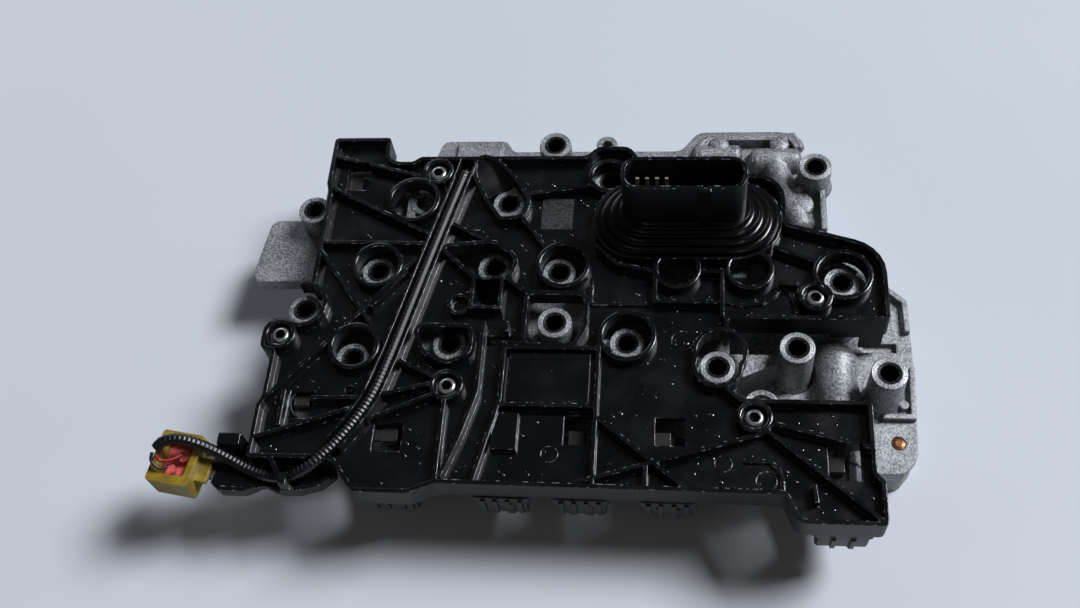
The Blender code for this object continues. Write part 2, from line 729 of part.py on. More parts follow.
def smooth_route(places, spacing):
    """Evenly spaced points on a smooth curve through the places, in metres."""
    knots = [Vector(place) * MM for place in places]
    knots = [knots[0] * 2 - knots[1], *knots, knots[-1] * 2 - knots[-2]]
    fine = []
    for i in range(1, len(knots) - 2):
        a, b, c, d = knots[i - 1 : i + 3]
        for step in range(12):
            t = step / 12
            fine.append(
                (b * 2 + (c - a) * t + (a * 2 - b * 5 + c * 4 - d) * t**2 + (b * 3 - a - c * 3 + d) * t**3)
                / 2
            )
    fine.append(knots[-2])
    length = sum((q - p).length for p, q in zip(fine, fine[1:]))
    wanted = max(2, round(length / spacing))
    points, travelled, target = [fine[0]], 0.0, length / wanted
    for p, q in zip(fine, fine[1:]):
        travelled += (q - p).length
        if travelled >= target * len(points) - 1e-9 and len(points) < wanted:
            points.append(q)
    points.append(fine[-1])
    return points


def tube(name, points, radius, resolution=2):
    curve = bpy.data.curves.new(name, "CURVE")
    curve.dimensions = "3D"
    curve.bevel_depth = radius
    curve.bevel_resolution = resolution
    curve.use_fill_caps = True
    spline = curve.splines.new("POLY")
    spline.points.add(len(points) - 1)
    for target, point in zip(spline.points, points):
        target.co = (*point, 1.0)
    return add_object(name, curve)


def plan(place):
    return place[0] * MM, place[1] * MM


def tower_holes(name, low, high):
    """Cutters for every bolt tower's through hole."""
    places = [*OPEN_TOWERS, *COVERED_TOWERS, EDGE_TOWER]
    holes = [
        upright(f"{name}_{i}", place, TOWER_HOLE_RADIUS, low, high, SMALL_SIDES)
        for i, place in enumerate(places)
    ]
    return holes + [upright(f"{name}_small", SMALL_TOWER, SMALL_TOWER_HOLE, low, high, SMALL_SIDES)]


def layer(name, low, high, step=0.0):
    """A slab over the castings' whole outline, flange and all."""
    return prism(name, inset(rounded(BACK_CORNERS + FLANGE_CORNERS), step), low, high)


def make_lower_casting():
    body = layer("lower_casting", 0.0, LOWER_HEIGHT, CASTING_STEP)
    holes = tower_holes("lower_hole", -BITE, LOWER_HEIGHT + BITE)
    for i, place in enumerate(CASTING_BOLTS):
        shank = BOLT_SHANK_RADIUS + FIT_GAP
        holes.append(upright(f"lower_bolt_{i}", place, shank, -BITE, LOWER_HEIGHT + BITE, HOLE_SIDES))
        head = BOLT_HEAD_RADIUS + 2 * FIT_GAP
        holes.append(upright(f"lower_head_{i}", place, head, -BITE, BOLT_RECESS, ROUND_SIDES))
    for i, place in enumerate(DOWELS):
        low = LOWER_HEIGHT - DOWEL_REACH
        holes.append(upright(f"lower_dowel_{i}", place, DOWEL_RADIUS + FIT_GAP, low, SHEET_Z, SMALL_SIDES))
    for i, track in enumerate(TRACKS):
        holes.append(wall(f"lower_track_{i}", track, TRACK_WIDTH, -BITE, TRACK_DEPTH))
    cut(body, holes)
    finish(body, "cast_aluminium")


def make_separator_plate():
    sheet = layer("separator_plate", SHEET_Z, SHEET_Z + SHEET_THICKNESS)
    low, high = SHEET_Z - BITE, SHEET_Z + SHEET_THICKNESS + BITE
    holes = tower_holes("sheet_hole", low, high)
    for i, place in enumerate(CASTING_BOLTS):
        shank = BOLT_SHANK_RADIUS + FIT_GAP
        holes.append(upright(f"sheet_bolt_{i}", place, shank, low, high, HOLE_SIDES))
    for i, place in enumerate(DOWELS):
        holes.append(upright(f"sheet_dowel_{i}", place, DOWEL_RADIUS + FIT_GAP, low, high, SMALL_SIDES))
    cut(sheet, holes)
    finish(sheet, "steel_sheet")


def tower_solids():
    towers = []
    for i, place in enumerate(OPEN_TOWERS):
        towers.append(upright(f"open_tower_{i}", place, TOWER_RADIUS, UPPER_Z + BITE, OPEN_TOWER_Z))
    for i, place in enumerate(COVERED_TOWERS):
        towers.append(upright(f"covered_tower_{i}", place, TOWER_RADIUS, UPPER_Z + BITE, POST_Z))
    top = SKIRT_Z - FIT_GAP
    towers.append(upright("edge_tower", EDGE_TOWER, TOWER_RADIUS, UPPER_Z + BITE, top))
    towers.append(upright("small_tower", SMALL_TOWER, SMALL_TOWER_RADIUS, UPPER_Z + BITE, POST_Z))
    for i, place in enumerate(PLATE_SCREWS):
        towers.append(upright(f"post_{i}", place, POST_RADIUS, UPPER_Z + BITE, POST_Z))
    return towers


def deck_solids():
    """What stands on the deck: ridges over the galleries, a rim at the back, bosses and webs."""
    added = []
    for i, (start, end) in enumerate(GALLERIES):
        start, end = (*plan(start), GALLERY_Z), (*plan(end), GALLERY_Z)
        added.append(rod(f"gallery_{i}", start, end, GALLERY_RADIUS, HOLE_SIDES))
    added.append(wall("back_rim", BACK_RIM, BACK_RIM_WIDTH, DECK_Z - BITE, BACK_RIM_Z))
    added.append(pad("back_pad", BACK_PAD, DECK_Z - 2 * BITE, BACK_PAD_Z))
    for i, (x, y, radius) in enumerate(DECK_BOSSES):
        added.append(upright(f"deck_boss_{i}", (x, y), radius * MM, DECK_Z - BITE, DECK_BOSS_Z, HOLE_SIDES))
    for i, (line, width) in enumerate(DECK_WEBS):
        added.append(wall(f"deck_web_{i}", line, width * MM, DECK_Z - 2 * BITE, WEB_Z + BITE / 2))
    return added


def flange_solids():
    """The rims along the flange's right edge, and the boss between a rim and its tower."""
    added = []
    for i, line in enumerate(FLANGE_RIMS):
        added.append(wall(f"flange_rim_{i}", line, FLANGE_RIM_WIDTH, FLANGE_Z - BITE, FLANGE_RIM_Z))
    boss = upright("flange_boss", FLANGE_BOSS, FLANGE_BOSS_RADIUS, FLANGE_Z - BITE, FLANGE_RIM_Z, HOLE_SIDES)
    return [*added, boss]


def valve_ridge():
    """The round ridge over the last valve, which has no deck above it, with its domed end."""
    x, front = VALVES[-1]
    length = BORE_LENGTH + BORE_WALL
    profile = [(0.0, length)]
    for step in (1, 2, 3):
        angle = math.pi / 6 * step
        reach = length - RIDGE_RADIUS * (1 - math.cos(angle)) * 0.7
        profile.append((RIDGE_RADIUS * math.sin(angle), reach))
    profile += [(RIDGE_RADIUS, FIT_GAP), (0.0, FIT_GAP)]
    return turned("bore_ridge", profile, (x * MM + RIDGE_SHIFT, front * MM, BORE_Z + RIDGE_RISE), "Y")


def make_upper_casting():
    body = layer("upper_casting", UPPER_Z, FLANGE_Z)
    deck = inset(rounded(BACK_CORNERS + DECK_CORNERS), DECK_STEP)
    added = [prism("deck", deck, UPPER_Z + BITE, DECK_Z), *tower_solids()]
    tab_top = DECK_Z - TAB_DROP
    added.append(prism("tab", rounded(TAB_OUTLINE), tab_top - TAB_THICKNESS, tab_top))
    added.append(prism("web", rounded(WEB_OUTLINE), UPPER_Z + 2 * BITE, WEB_Z))
    added += deck_solids()
    added += flange_solids()
    added.append(valve_ridge())
    unite(body, added)
    holes = tower_holes("upper_hole", UPPER_Z - BITE, OPEN_TOWER_Z + BITE)
    x, y, radius = DECK_BOSS_HOLLOW
    holes.append(upright("boss_hollow", (x, y), radius * MM, DECK_Z + BITE, DECK_BOSS_Z + BITE, HOLE_SIDES))
    for i, (x, front) in enumerate(VALVES):
        start = (x * MM, front * MM - BITE, BORE_Z)
        end = (x * MM, front * MM + BORE_LENGTH, BORE_Z)
        holes.append(rod(f"bore_{i}", start, end, BORE_RADIUS))
    for i, place in enumerate(UPRIGHT_SOLENOIDS):
        low = DECK_Z - UPRIGHT_DEPTH - FIT_GAP
        holes.append(upright(f"pocket_{i}", place, UPRIGHT_RADIUS + FIT_GAP, low, DECK_Z + BITE))
    for i, place in enumerate(CASTING_BOLTS):
        top = UPPER_Z + BOLT_REACH + FIT_GAP
        shank = BOLT_SHANK_RADIUS + FIT_GAP
        holes.append(upright(f"upper_bolt_{i}", place, shank, UPPER_Z - BITE, top, HOLE_SIDES))
    for i, place in enumerate(DOWELS):
        top = UPPER_Z + DOWEL_REACH
        holes.append(upright(f"upper_dowel_{i}", place, DOWEL_RADIUS + FIT_GAP, SHEET_Z, top, SMALL_SIDES))
    for i, place in enumerate(PLATE_SCREWS):
        low = SKIN_TOP - SCREW_LENGTH - FIT_GAP
        radius = SCREW_SHANK_RADIUS + FIT_GAP
        holes.append(upright(f"thread_{i}", place, radius, low, POST_Z + BITE, SMALL_SIDES))
    radius = PLUG_RADIUS + FIT_GAP
    holes.append(upright("plug_hole", GALLERY_PLUG, radius, UPPER_Z - BITE, FLANGE_Z + BITE, HOLE_SIDES))
    low = FLANGE_Z - FLANGE_SLOT_DEPTH
    holes.append(wall("flange_slot", FLANGE_SLOT, FLANGE_SLOT_WIDTH, low, FLANGE_Z + BITE))
    cut(body, holes)
    finish(body, "cast_aluminium")


def make_gallery_plug():
    low = FLANGE_Z - PLUG_LENGTH
    top = FLANGE_Z + FIT_GAP
    radius = PLUG_RADIUS
    profile = [(0.0, top), (radius * 0.5, top), (radius, top - BITE), (radius, low), (0.0, low)]
    finish(turned("gallery_plug", profile, (*plan(GALLERY_PLUG), 0.0), sides=HOLE_SIDES), "copper")


def make_casting_bolts():
    seat = BOLT_RECESS - FIT_GAP
    low = seat - BOLT_HEAD_HEIGHT
    tip = UPPER_Z + BOLT_REACH
    for i, place in enumerate(CASTING_BOLTS):
        bolt = upright(f"casting_bolt_{i + 1}", place, BOLT_HEAD_RADIUS, seat - BITE * 3, seat)
        hexagon = upright(f"bolt_hex_{i}", place, BOLT_HEAD_RADIUS * 0.88, low, seat - BITE, 6)
        shank = upright(f"bolt_shank_{i}", place, BOLT_SHANK_RADIUS, seat - BITE, tip, HOLE_SIDES)
        unite(bolt, [hexagon, shank])
        finish(bolt, "bolt_steel")


def make_dowels():
    for i, place in enumerate(DOWELS):
        low = LOWER_HEIGHT - DOWEL_REACH + FIT_GAP
        top = UPPER_Z + DOWEL_REACH - FIT_GAP
        dowel = upright(f"locating_dowel_{i + 1}", place, DOWEL_RADIUS, low, top, SMALL_SIDES)
        finish(dowel, "bolt_steel")


def make_spools():
    """Each spool's origin is on its bore's axis, at the end that its solenoid pushes."""
    inner = BORE_RADIUS * math.cos(math.pi / ROUND_SIDES)
    land = inner - RUNNING_CLEARANCE
    neck = SPOOL_NECK_RADIUS
    room = (SPOOL_LENGTH - 3 * SPOOL_LAND) / 2
    profile = [(0.0, SPOOL_LENGTH)]
    for i in range(3):
        top = SPOOL_LENGTH - i * (SPOOL_LAND + room)
        profile += [(land, top), (land, top - SPOOL_LAND)]
        if i < 2:
            profile += [(neck, top - SPOOL_LAND), (neck, top - SPOOL_LAND - room)]
    profile.append((0.0, 0.0))
    for i, (x, front) in enumerate(VALVES):
        start = front * MM + NOSE_LENGTH + FIT_GAP
        place = (x * MM, start, BORE_Z)
        spool = turned(f"spool_valve_{i + 1}", profile, place, "Y", SMALL_SIDES)
        finish(spool, "spool_aluminium")


def make_springs():
    for i, (x, front) in enumerate(VALVES):
        start = front * MM + NOSE_LENGTH + SPOOL_LENGTH + 2 * FIT_GAP + SPRING_WIRE
        end = front * MM + BORE_LENGTH - FIT_GAP - SPRING_WIRE
        steps = SPRING_TURNS * SPRING_STEPS
        points = []
        for step in range(steps + 1):
            angle = 2 * math.pi * step / SPRING_STEPS
            y = start + (end - start) * step / steps
            across = SPRING_COIL_RADIUS * math.cos(angle)
            points.append((x * MM + across, y, BORE_Z + SPRING_COIL_RADIUS * math.sin(angle)))
        finish(tube(f"spool_spring_{i + 1}", points, SPRING_WIRE, 1), "spring_steel")


def make_solenoids():
    """A turned can whose nose sits in the bore, and a plastic cap with the terminal block."""
    nose = BORE_RADIUS * math.cos(math.pi / ROUND_SIDES) - FIT_GAP
    for i, (x, front) in enumerate(VALVES):
        face = front * MM - FIT_GAP
        profile = [
            (0.0, NOSE_LENGTH),
            (nose * 0.8, NOSE_LENGTH),
            (nose, NOSE_LENGTH - 2 * BITE),
            (nose, 0.0),
            (CAN_RADIUS - BITE, 0.0),
            (CAN_RADIUS, -BITE),
            (CAN_RADIUS, -CAN_LENGTH),
            (0.0, -CAN_LENGTH),
        ]
        can = turned(f"solenoid_{i + 1}", profile, (x * MM, face, BORE_Z), "Y")
        finish(can, "can_steel")
        make_solenoid_cap(i, x * MM, face)


def make_solenoid_cap(i, x, face):
    """The cap closes the can's front end and reaches back along its top to the terminals."""
    back = face - CAN_LENGTH - FIT_GAP
    top = SKIRT_Z - FIT_GAP
    half = CAP_WIDTH / 2
    spine_low = BORE_Z + CAN_RADIUS + FIT_GAP
    cap = box(f"solenoid_cap_{i + 1}", (x - half, back - CAP_DEPTH, top - CAP_DROP), (x + half, back, top))
    spine = box(
        f"cap_spine_{i}",
        (x - SPINE_WIDTH / 2, back - BITE, spine_low),
        (x + SPINE_WIDTH / 2, face - BITE, top - BITE / 4),
    )
    block_x = x + TERMINAL_SHIFT
    block = box(
        f"cap_terminals_{i}",
        (block_x - TERMINAL_WIDTH / 2, face - BITE - TERMINAL_LENGTH, spine_low + BITE / 4),
        (block_x + TERMINAL_WIDTH / 2, face - 2 * BITE, SKIN_Z - 2 * BITE),
    )
    ribs = []
    for step in (-1.5, -0.5, 0.5, 1.5):
        rib_x = x + step * CAP_WIDTH / 4
        ribs.append(
            box(
                f"cap_rib_{i}_{step}",
                (rib_x - CAP_RIB, back - CAP_DEPTH - CAP_RIB, top - CAP_DROP + BITE),
                (rib_x + CAP_RIB, back - CAP_DEPTH + BITE, top - 2 * BITE),
            )
        )
    unite(cap, [spine, block, *ribs])
    finish(cap, "grey_nylon")


def make_upright_solenoids():
    for i, place in enumerate(UPRIGHT_SOLENOIDS):
        low = DECK_Z - UPRIGHT_DEPTH
        high = DECK_Z + UPRIGHT_RISE
        profile = [
            (0.0, high),
            (UPRIGHT_RADIUS - BITE, high),
            (UPRIGHT_RADIUS, high - BITE),
            (UPRIGHT_RADIUS, low),
            (0.0, low),
        ]
        can = turned(f"shift_solenoid_{i + 1}", profile, (*plan(place), 0.0))
        finish(can, "can_steel")
        x, y = plan(place)
        half = TERMINAL_WIDTH / 2
        block = box(
            f"shift_terminals_{i + 1}",
            (x - 1.5 * half, y - half, high + FIT_GAP),
            (x + half / 2, y + 1.5 * half, SKIN_Z - 2 * BITE),
        )
        finish(block, "grey_nylon")


def make_plate_screws():
    head_low = SKIN_TOP + FIT_GAP
    head_top = head_low + SCREW_HEAD_HEIGHT
    tip = SKIN_TOP - SCREW_LENGTH
    for i, place in enumerate(PLATE_SCREWS):
        profile = [
            (0.0, head_top),
            (SCREW_HEAD_RADIUS - BITE, head_top),
            (SCREW_HEAD_RADIUS, head_top - BITE),
            (SCREW_HEAD_RADIUS, head_low),
            (SCREW_SHANK_RADIUS, head_low),
            (SCREW_SHANK_RADIUS, tip + BITE),
            (SCREW_SHANK_RADIUS - BITE, tip),
            (0.0, tip),
        ]
        screw = turned(f"plate_screw_{i + 1}", profile, (*plan(place), 0.0), sides=SMALL_SIDES)
        cut(screw, [make_drive(f"drive_{i}", place, head_top)])
        finish(screw, "bolt_steel")


def make_drive(name, place, head_top):
    """A six-lobed recess, drawn as a wave round a circle."""
    points = []
    for step in range(12):
        angle = 2 * math.pi * step / 12
        radius = DRIVE_RADIUS * (1.0 + 0.16 * math.cos(6 * angle))
        points.append(Vector(plan(place)) + Vector((math.cos(angle), math.sin(angle))) * radius)
    return prism(name, points, head_top - DRIVE_DEPTH, head_top + BITE)


def channel_line(side):
    """One wall of the lead's channel: the sleeve's own route moved to a side."""
    line = [Vector(place) * MM for place in CHANNEL_ROUTE]
    reach = SLEEVE_RADIUS + CHANNEL_CLEARANCE + CHANNEL_WALL / 2
    return [point / MM for point in offset(line, side * reach, closed=False)]


def plate_shell():
    """The plate's skin between an upper and a lower pocket, inside a wall round its edge."""
    outline = rounded(PLATE_OUTLINE)
    shell = prism("conductor_plate", outline, SKIRT_Z, RIB_TOP)
    inner = inset(outline, WALL)
    cut(
        shell,
        [
            prism("pocket_above", inner, SKIN_TOP, RIB_TOP + BITE),
            prism("pocket_below", inner, SKIRT_Z - BITE, SKIN_Z),
        ],
        "pockets",
    )
    return shell


def plate_solids():
    """What stands up from the skin: ribs, channel walls, collars, bosses and sockets."""
    low = SKIN_Z + BITE
    added = []
    for i, line in enumerate(RIBS):
        added.append(wall(f"rib_{i}", line, RIB_THICKNESS, low, RIB_TOP))
    for i, line in enumerate(LOW_RIBS):
        added.append(wall(f"low_rib_{i}", line, RIB_THICKNESS, low, SKIN_TOP + LOW_RIB_HEIGHT))
    for i, side in enumerate((-1, 1)):
        added.append(wall(f"channel_{i}", channel_line(side), CHANNEL_WALL, low, RIB_TOP + BITE))
    for i, (x, y, radius) in enumerate(COLLARED_HOLES):
        added.append(upright(f"collar_{i}", (x, y), radius * MM + WALL, low, RIB_TOP))
    for i, corners in enumerate(DROP_CAVITIES):
        added.append(prism(f"drop_wall_{i}", inset(rounded(corners), -WALL), low, RIB_TOP))
    added.append(prism("bay_wall", inset(rounded(BAY_OUTLINE), -WALL), low, RIB_TOP))
    for i, place in enumerate(PLATE_SCREWS):
        added.append(upright(f"boss_{i}", place, BOSS_RADIUS, low, RIB_TOP))
    added.append(pad("panel", PANEL, low, SKIN_TOP + PANEL_HEIGHT))
    added.append(pad("land", LAND, low, SKIN_TOP + LAND_HEIGHT))
    for i, (corners, bottom) in enumerate(HANGING_WALLS):
        added.append(pad(f"hanging_wall_{i}", corners, bottom * MM, SKIN_Z + 2 * BITE))
    added.append(pad("socket", SOCKET, SKIRT_Z, RIB_TOP + 2 * BITE))
    added.append(upright("dimple", DIMPLE, DIMPLE_RADIUS, low, RIB_TOP - 2 * BITE))
    return added + gutter_solids()


def leaf_ramp():
    """The sloping floor that leads down from the leaf-shaped opening's tip to its bolt tower."""
    high_x, high_y, high_z = RAMP_HIGH
    bm = bmesh.new()
    top, bottom = [], []
    for x, y in LEAF_RAMP:
        z = (high_z - RAMP_FALL[0] * (x - high_x) - RAMP_FALL[1] * (high_y - y)) * MM
        top.append(bm.verts.new((x * MM, y * MM, z)))
        bottom.append(bm.verts.new((x * MM, y * MM, z - RAMP_THICKNESS)))
    bm.faces.new(top)
    bm.faces.new(bottom[::-1])
    for i in range(len(top)):
        bm.faces.new((top[i - 1], bottom[i - 1], bottom[i], top[i]))
    return from_bmesh("leaf_ramp", bm)


def connector_solids():
    """The main connector's foot and shroud, which lie over the collars next to them."""
    base = stadium("base", CONNECTOR, BASE_SIZE, SKIN_Z + BITE, SKIN_TOP + BASE_HEIGHT)
    shroud = stadium("shroud", SHROUD, SHROUD_SIZE, SKIN_Z + 2 * BITE, SHROUD_TOP, SHROUD_CORNER)
    front = SHROUD[1] * MM - SHROUD_SIZE[1] / 2
    key_x = SHROUD[0] * MM + KEY_SHIFT
    key = box(
        "key",
        (key_x - KEY_WIDTH / 2, front - SHROUD_WALL, SHROUD_TOP - KEY_DEPTH),
        (key_x + KEY_WIDTH / 2, front + BITE, SHROUD_TOP),
    )
    return [base, shroud, key, leaf_ramp()]


def gutter_solids():
    """The shelf that carries the lead round the corner and holds the yellow connector."""
    top = SKIRT_Z + GUTTER_THICKNESS
    shelf = prism("gutter", rounded(GUTTER_OUTLINE), SKIRT_Z, top)
    lips = [wall(f"lip_{i}", line, WALL, SKIRT_Z + BITE, top + LIP_HEIGHT) for i, line in enumerate(LIPS)]
    fin = wall("fin", FIN, WALL, FIN_Z, RIB_TOP + BITE)
    x, y = FIN[1]
    foot = pad("fin_foot", (x - 1.4, y - 0.2, x + 1.4, y + 1.8), SKIRT_Z + 2 * BITE, RIB_TOP)
    clip = pad("clip", CLIP_BOX, SKIRT_Z + 2 * BITE, RIB_TOP + BITE)
    return [shelf, fin, foot, clip, *lips]


def plate_cuts():
    low, high = SKIRT_Z - BITE, RIB_TOP + 3 * BITE
    holes = []
    for i, (x, y, radius) in enumerate(COLLARED_HOLES):
        holes.append(upright(f"hole_{i}", (x, y), radius * MM, low, high))
    for i, corners in enumerate(DROP_CAVITIES):
        holes.append(prism(f"drop_{i}", rounded(corners), low, high))
    holes.append(prism("bay", rounded(BAY_OUTLINE), low, high))
    for i, corners in enumerate(WINDOWS):
        holes.append(pad(f"window_{i}", corners, low, high))
    for i, place in enumerate(PLATE_SCREWS):
        holes.append(upright(f"cup_{i}", place, BOSS_CUP_RADIUS, SKIN_TOP, high))
        radius = SCREW_SHANK_RADIUS + FIT_GAP
        holes.append(upright(f"screw_hole_{i}", place, radius, low, high, SMALL_SIDES))
    for i, (x, y, radius) in enumerate(PLAIN_HOLES):
        holes.append(upright(f"plain_hole_{i}", (x, y), radius * MM, low, high, SMALL_SIDES))
    holes.append(pad("notch", NOTCH, low, high))
    x0, y0, x1, y1 = SOCKET
    inner = SOCKET_WALL / MM
    holes.append(pad("socket_inside", (x0 + inner, y0 + inner, x1 - inner, y1 - inner), SKIRT_Z + WALL, high))
    inner_radius = DIMPLE_RADIUS - SOCKET_WALL
    holes.append(upright("dimple_inside", DIMPLE, inner_radius, SKIN_TOP + BITE, high, HOLE_SIDES))
    holes.append(wall("lead_entry", LEAD_ENTRY, ENTRY_WIDTH, low, high))
    way = [*CHANNEL_ROUTE, LEAD_END[0][:2], LEAD_END[1][:2]]
    holes.append(wall("lead_way", way, CLEAR_WIDTH, SKIN_TOP, high))
    return holes


def connector_cuts():
    size = (SHROUD_SIZE[0] - 2 * SHROUD_WALL, SHROUD_SIZE[1] - 2 * SHROUD_WALL)
    corner = SHROUD_CORNER - SHROUD_WALL
    inside = stadium("shroud_inside", SHROUD, size, SOCKET_FLOOR, SHROUD_TOP + BITE, corner)
    front = SHROUD[1] * MM - SHROUD_SIZE[1] / 2
    key_x = SHROUD[0] * MM + KEY_SHIFT
    key_half = KEY_WIDTH / 2 - SOCKET_WALL
    slot = box(
        "key_slot",
        (key_x - key_half, front - SHROUD_WALL / 3, SHROUD_TOP - KEY_DEPTH + KEY_FLOOR),
        (key_x + key_half, front + 2 * SHROUD_WALL, SHROUD_TOP + BITE),
    )
    return [inside, slot]


def make_conductor_plate():
    plate = plate_shell()
    unite(plate, plate_solids())
    cut(plate, plate_cuts())
    unite(plate, connector_solids(), "connector")
    cut(plate, connector_cuts(), "socket")
    finish(plate, "black_nylon")


def make_connector_seal():
    """A stepped rubber boot round the foot of the shroud."""
    low = SKIN_TOP + BASE_HEIGHT + FIT_GAP
    length = BASE_SIZE[0] - 2 * SEAL_MARGIN
    depth = BASE_SIZE[1] - 2 * SEAL_MARGIN
    steps = []
    for i in range(SEAL_STEPS):
        size = (length - 2 * i * SEAL_STEP_IN * 1.6, depth - 2 * i * SEAL_STEP_IN)
        bottom = low + i * SEAL_STEP_HEIGHT - (BITE if i else 0.0)
        steps.append(stadium(f"seal_step_{i}", CONNECTOR, size, bottom, low + (i + 1) * SEAL_STEP_HEIGHT))
    seal = steps[0]
    seal.name = "connector_seal"
    unite(seal, steps[1:])
    top = low + SEAL_STEPS * SEAL_STEP_HEIGHT
    size = (SHROUD_SIZE[0] + 2 * FIT_GAP, SHROUD_SIZE[1] + 2 * FIT_GAP)
    hole = stadium("seal_hole", SHROUD, size, low - BITE, top + BITE, SHROUD_CORNER + FIT_GAP)
    cut(seal, [hole])
    finish(seal, "black_rubber")


def make_connector_pins():
    """The pins stand on the bar that joins them in the socket's floor."""
    low = SOCKET_FLOOR + FIT_GAP
    first = SHROUD[0] * MM - SHROUD_SIZE[0] / 2 + SHROUD_WALL + PIN_MARGIN
    y = SHROUD[1] * MM + PIN_SHIFT
    last = first + (PIN_COUNT - 1) * PIN_PITCH
    half_x, half_y = PIN_SIZE[0] / 2, PIN_SIZE[1] / 2
    bar = box(
        "connector_pins",
        (first - 2 * half_x, y - 2 * half_y, low),
        (last + 2 * half_x, y + 2 * half_y, low + PIN_BAR_HEIGHT),
    )
    pins = []
    for i in range(PIN_COUNT):
        x = first + i * PIN_PITCH
        pins.append(box(f"pin_{i}", (x - half_x, y - half_y, low + BITE), (x + half_x, y + half_y, PIN_TOP)))
    unite(bar, pins)
    finish(bar, "pin_brass")


def lead_places():
    lane = [(x, y, LANE_Z) for x, y in CHANNEL_ROUTE[1:]]
    return LEAD_START + lane + LEAD_END


def make_lead():
    points = smooth_route(lead_places(), 3.6 * SLEEVE_RADIUS)
    points = [Vector(place) * MM for place in LEAD_START] + points[1:]
    finish(tube("lead_sleeve", points, SLEEVE_RADIUS), "braid")
    top = LEAD_START[0][2] * MM - FIT_GAP
    place = LEAD_START[0][:2]
    grommet = upright("lead_grommet", place, GROMMET_RADIUS, top - GROMMET_HEIGHT, top, HOLE_SIDES)
    finish(grommet, "black_rubber")


def housing_point(x, y):
    """A place given on the yellow connector, in the part's plan, in millimetres."""
    turn = Matrix.Rotation(math.radians(HOUSING_TURN), 2)
    return Vector(HOUSING_CENTRE) + turn @ Vector((x, y))


def housing_prism(name, centre, size, low, high, corner):
    half_x, half_y = size[0] / 2, size[1] / 2
    x, y = centre
    signs = [(-1, -1), (1, -1), (1, 1), (-1, 1)]
    corners = [(*housing_point(x + sx * half_x, y + sy * half_y), corner) for sx, sy in signs]
    return prism(name, rounded(corners), low, high)


def make_lead_connector():
    top = RIB_TOP - 3 * BITE
    low = top - HOUSING_HEIGHT
    slab_low = SKIRT_Z + GUTTER_THICKNESS + FIT_GAP
    housing = housing_prism("lead_connector", (0, 0), HOUSING_SIZE, low, top, 1.2)
    slab_top = slab_low + SLAB_THICKNESS
    unite(housing, [housing_prism("slab", SLAB_CENTRE, SLAB_SIZE, slab_low, slab_top, 0.6)])
    pocket = housing_prism("housing_pocket", (0, 0), HOUSING_POCKET, top - POCKET_DEPTH, top + BITE, 1.0)
    room = pad("tongue_room", TONGUE_ROOM, SKIRT_Z - FIT_GAP, slab_low)
    cut(housing, [pocket, room])
    finish(housing, "yellow_nylon")
    make_lead_seal(top - POCKET_DEPTH + FIT_GAP, top - 2 * BITE)


def make_lead_seal(low, high):
    size = (HOUSING_POCKET[0] - 0.6, HOUSING_POCKET[1] - 0.6)
    seal = housing_prism("lead_connector_seal", (0, 0), size, low, low + 5 * BITE, 0.8)
    towers = []
    for i, (x, y) in enumerate(SEAL_TOWERS):
        place = housing_point(x, y)
        towers.append(upright(f"seal_tower_{i}", place, SEAL_TOWER_RADIUS, low + BITE, high, SMALL_SIDES))
    unite(seal, towers)
    finish(seal, "pink_rubber")
    make_lead_wires(high)


def make_lead_wires(seal_top):
    """Two wires that leave the sleeve's end and bend down into the seal's towers."""
    names = ("lead_wire_dark", "lead_wire_red")
    colours = ("dark_wire", "red_wire")
    end_z = seal_top / MM + 0.3
    for i, tower in enumerate(SEAL_TOWERS):
        x, y = housing_point(*tower)
        places = [*WIRE_STARTS[i], (x, y, end_z + 1.2), (x, y, end_z)]
        points = smooth_route(places, 2.4 * WIRE_RADIUS)
        finish(tube(names[i], points, WIRE_RADIUS, 1), colours[i])


waiting = []
clear_scene()
parts = make_collection(COLLECTION_NAME, False)
cutters = make_collection("cutters", True)
frame_empty = bpy.data.objects.new("valve_body_frame", None)
frame_empty.location = (FRAME_X, FRAME_Y, 0.0)
parts.objects.link(frame_empty)

make_lower_casting()
make_separator_plate()
make_upper_casting()
make_gallery_plug()
make_casting_bolts()
make_dowels()
make_spools()
make_springs()
make_solenoids()
make_upright_solenoids()
make_plate_screws()
make_conductor_plate()
make_connector_seal()
make_connector_pins()
make_lead()
make_lead_connector()
add_booleans()
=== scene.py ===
# %% [markdown]
# # A gearbox valve body, dressed for its portrait
# A valve body is the hydraulic brain of an automatic gearbox: two aluminium castings with a
# steel sheet between them. Oil runs through their passages, spools open and close them, and
# solenoids push the spools. On top sits a black moulded plate that carries the current.
# The solid model comes in as a fixed frame. This file gives it finishes, and adds the small
# smooth shapes that the solid model leaves out.

# %% Load the frame and keep its size
import json
import math

import bmesh
import bpy
import numpy as np
from mathutils import Matrix, Vector
from mathutils.bvhtree import BVHTree


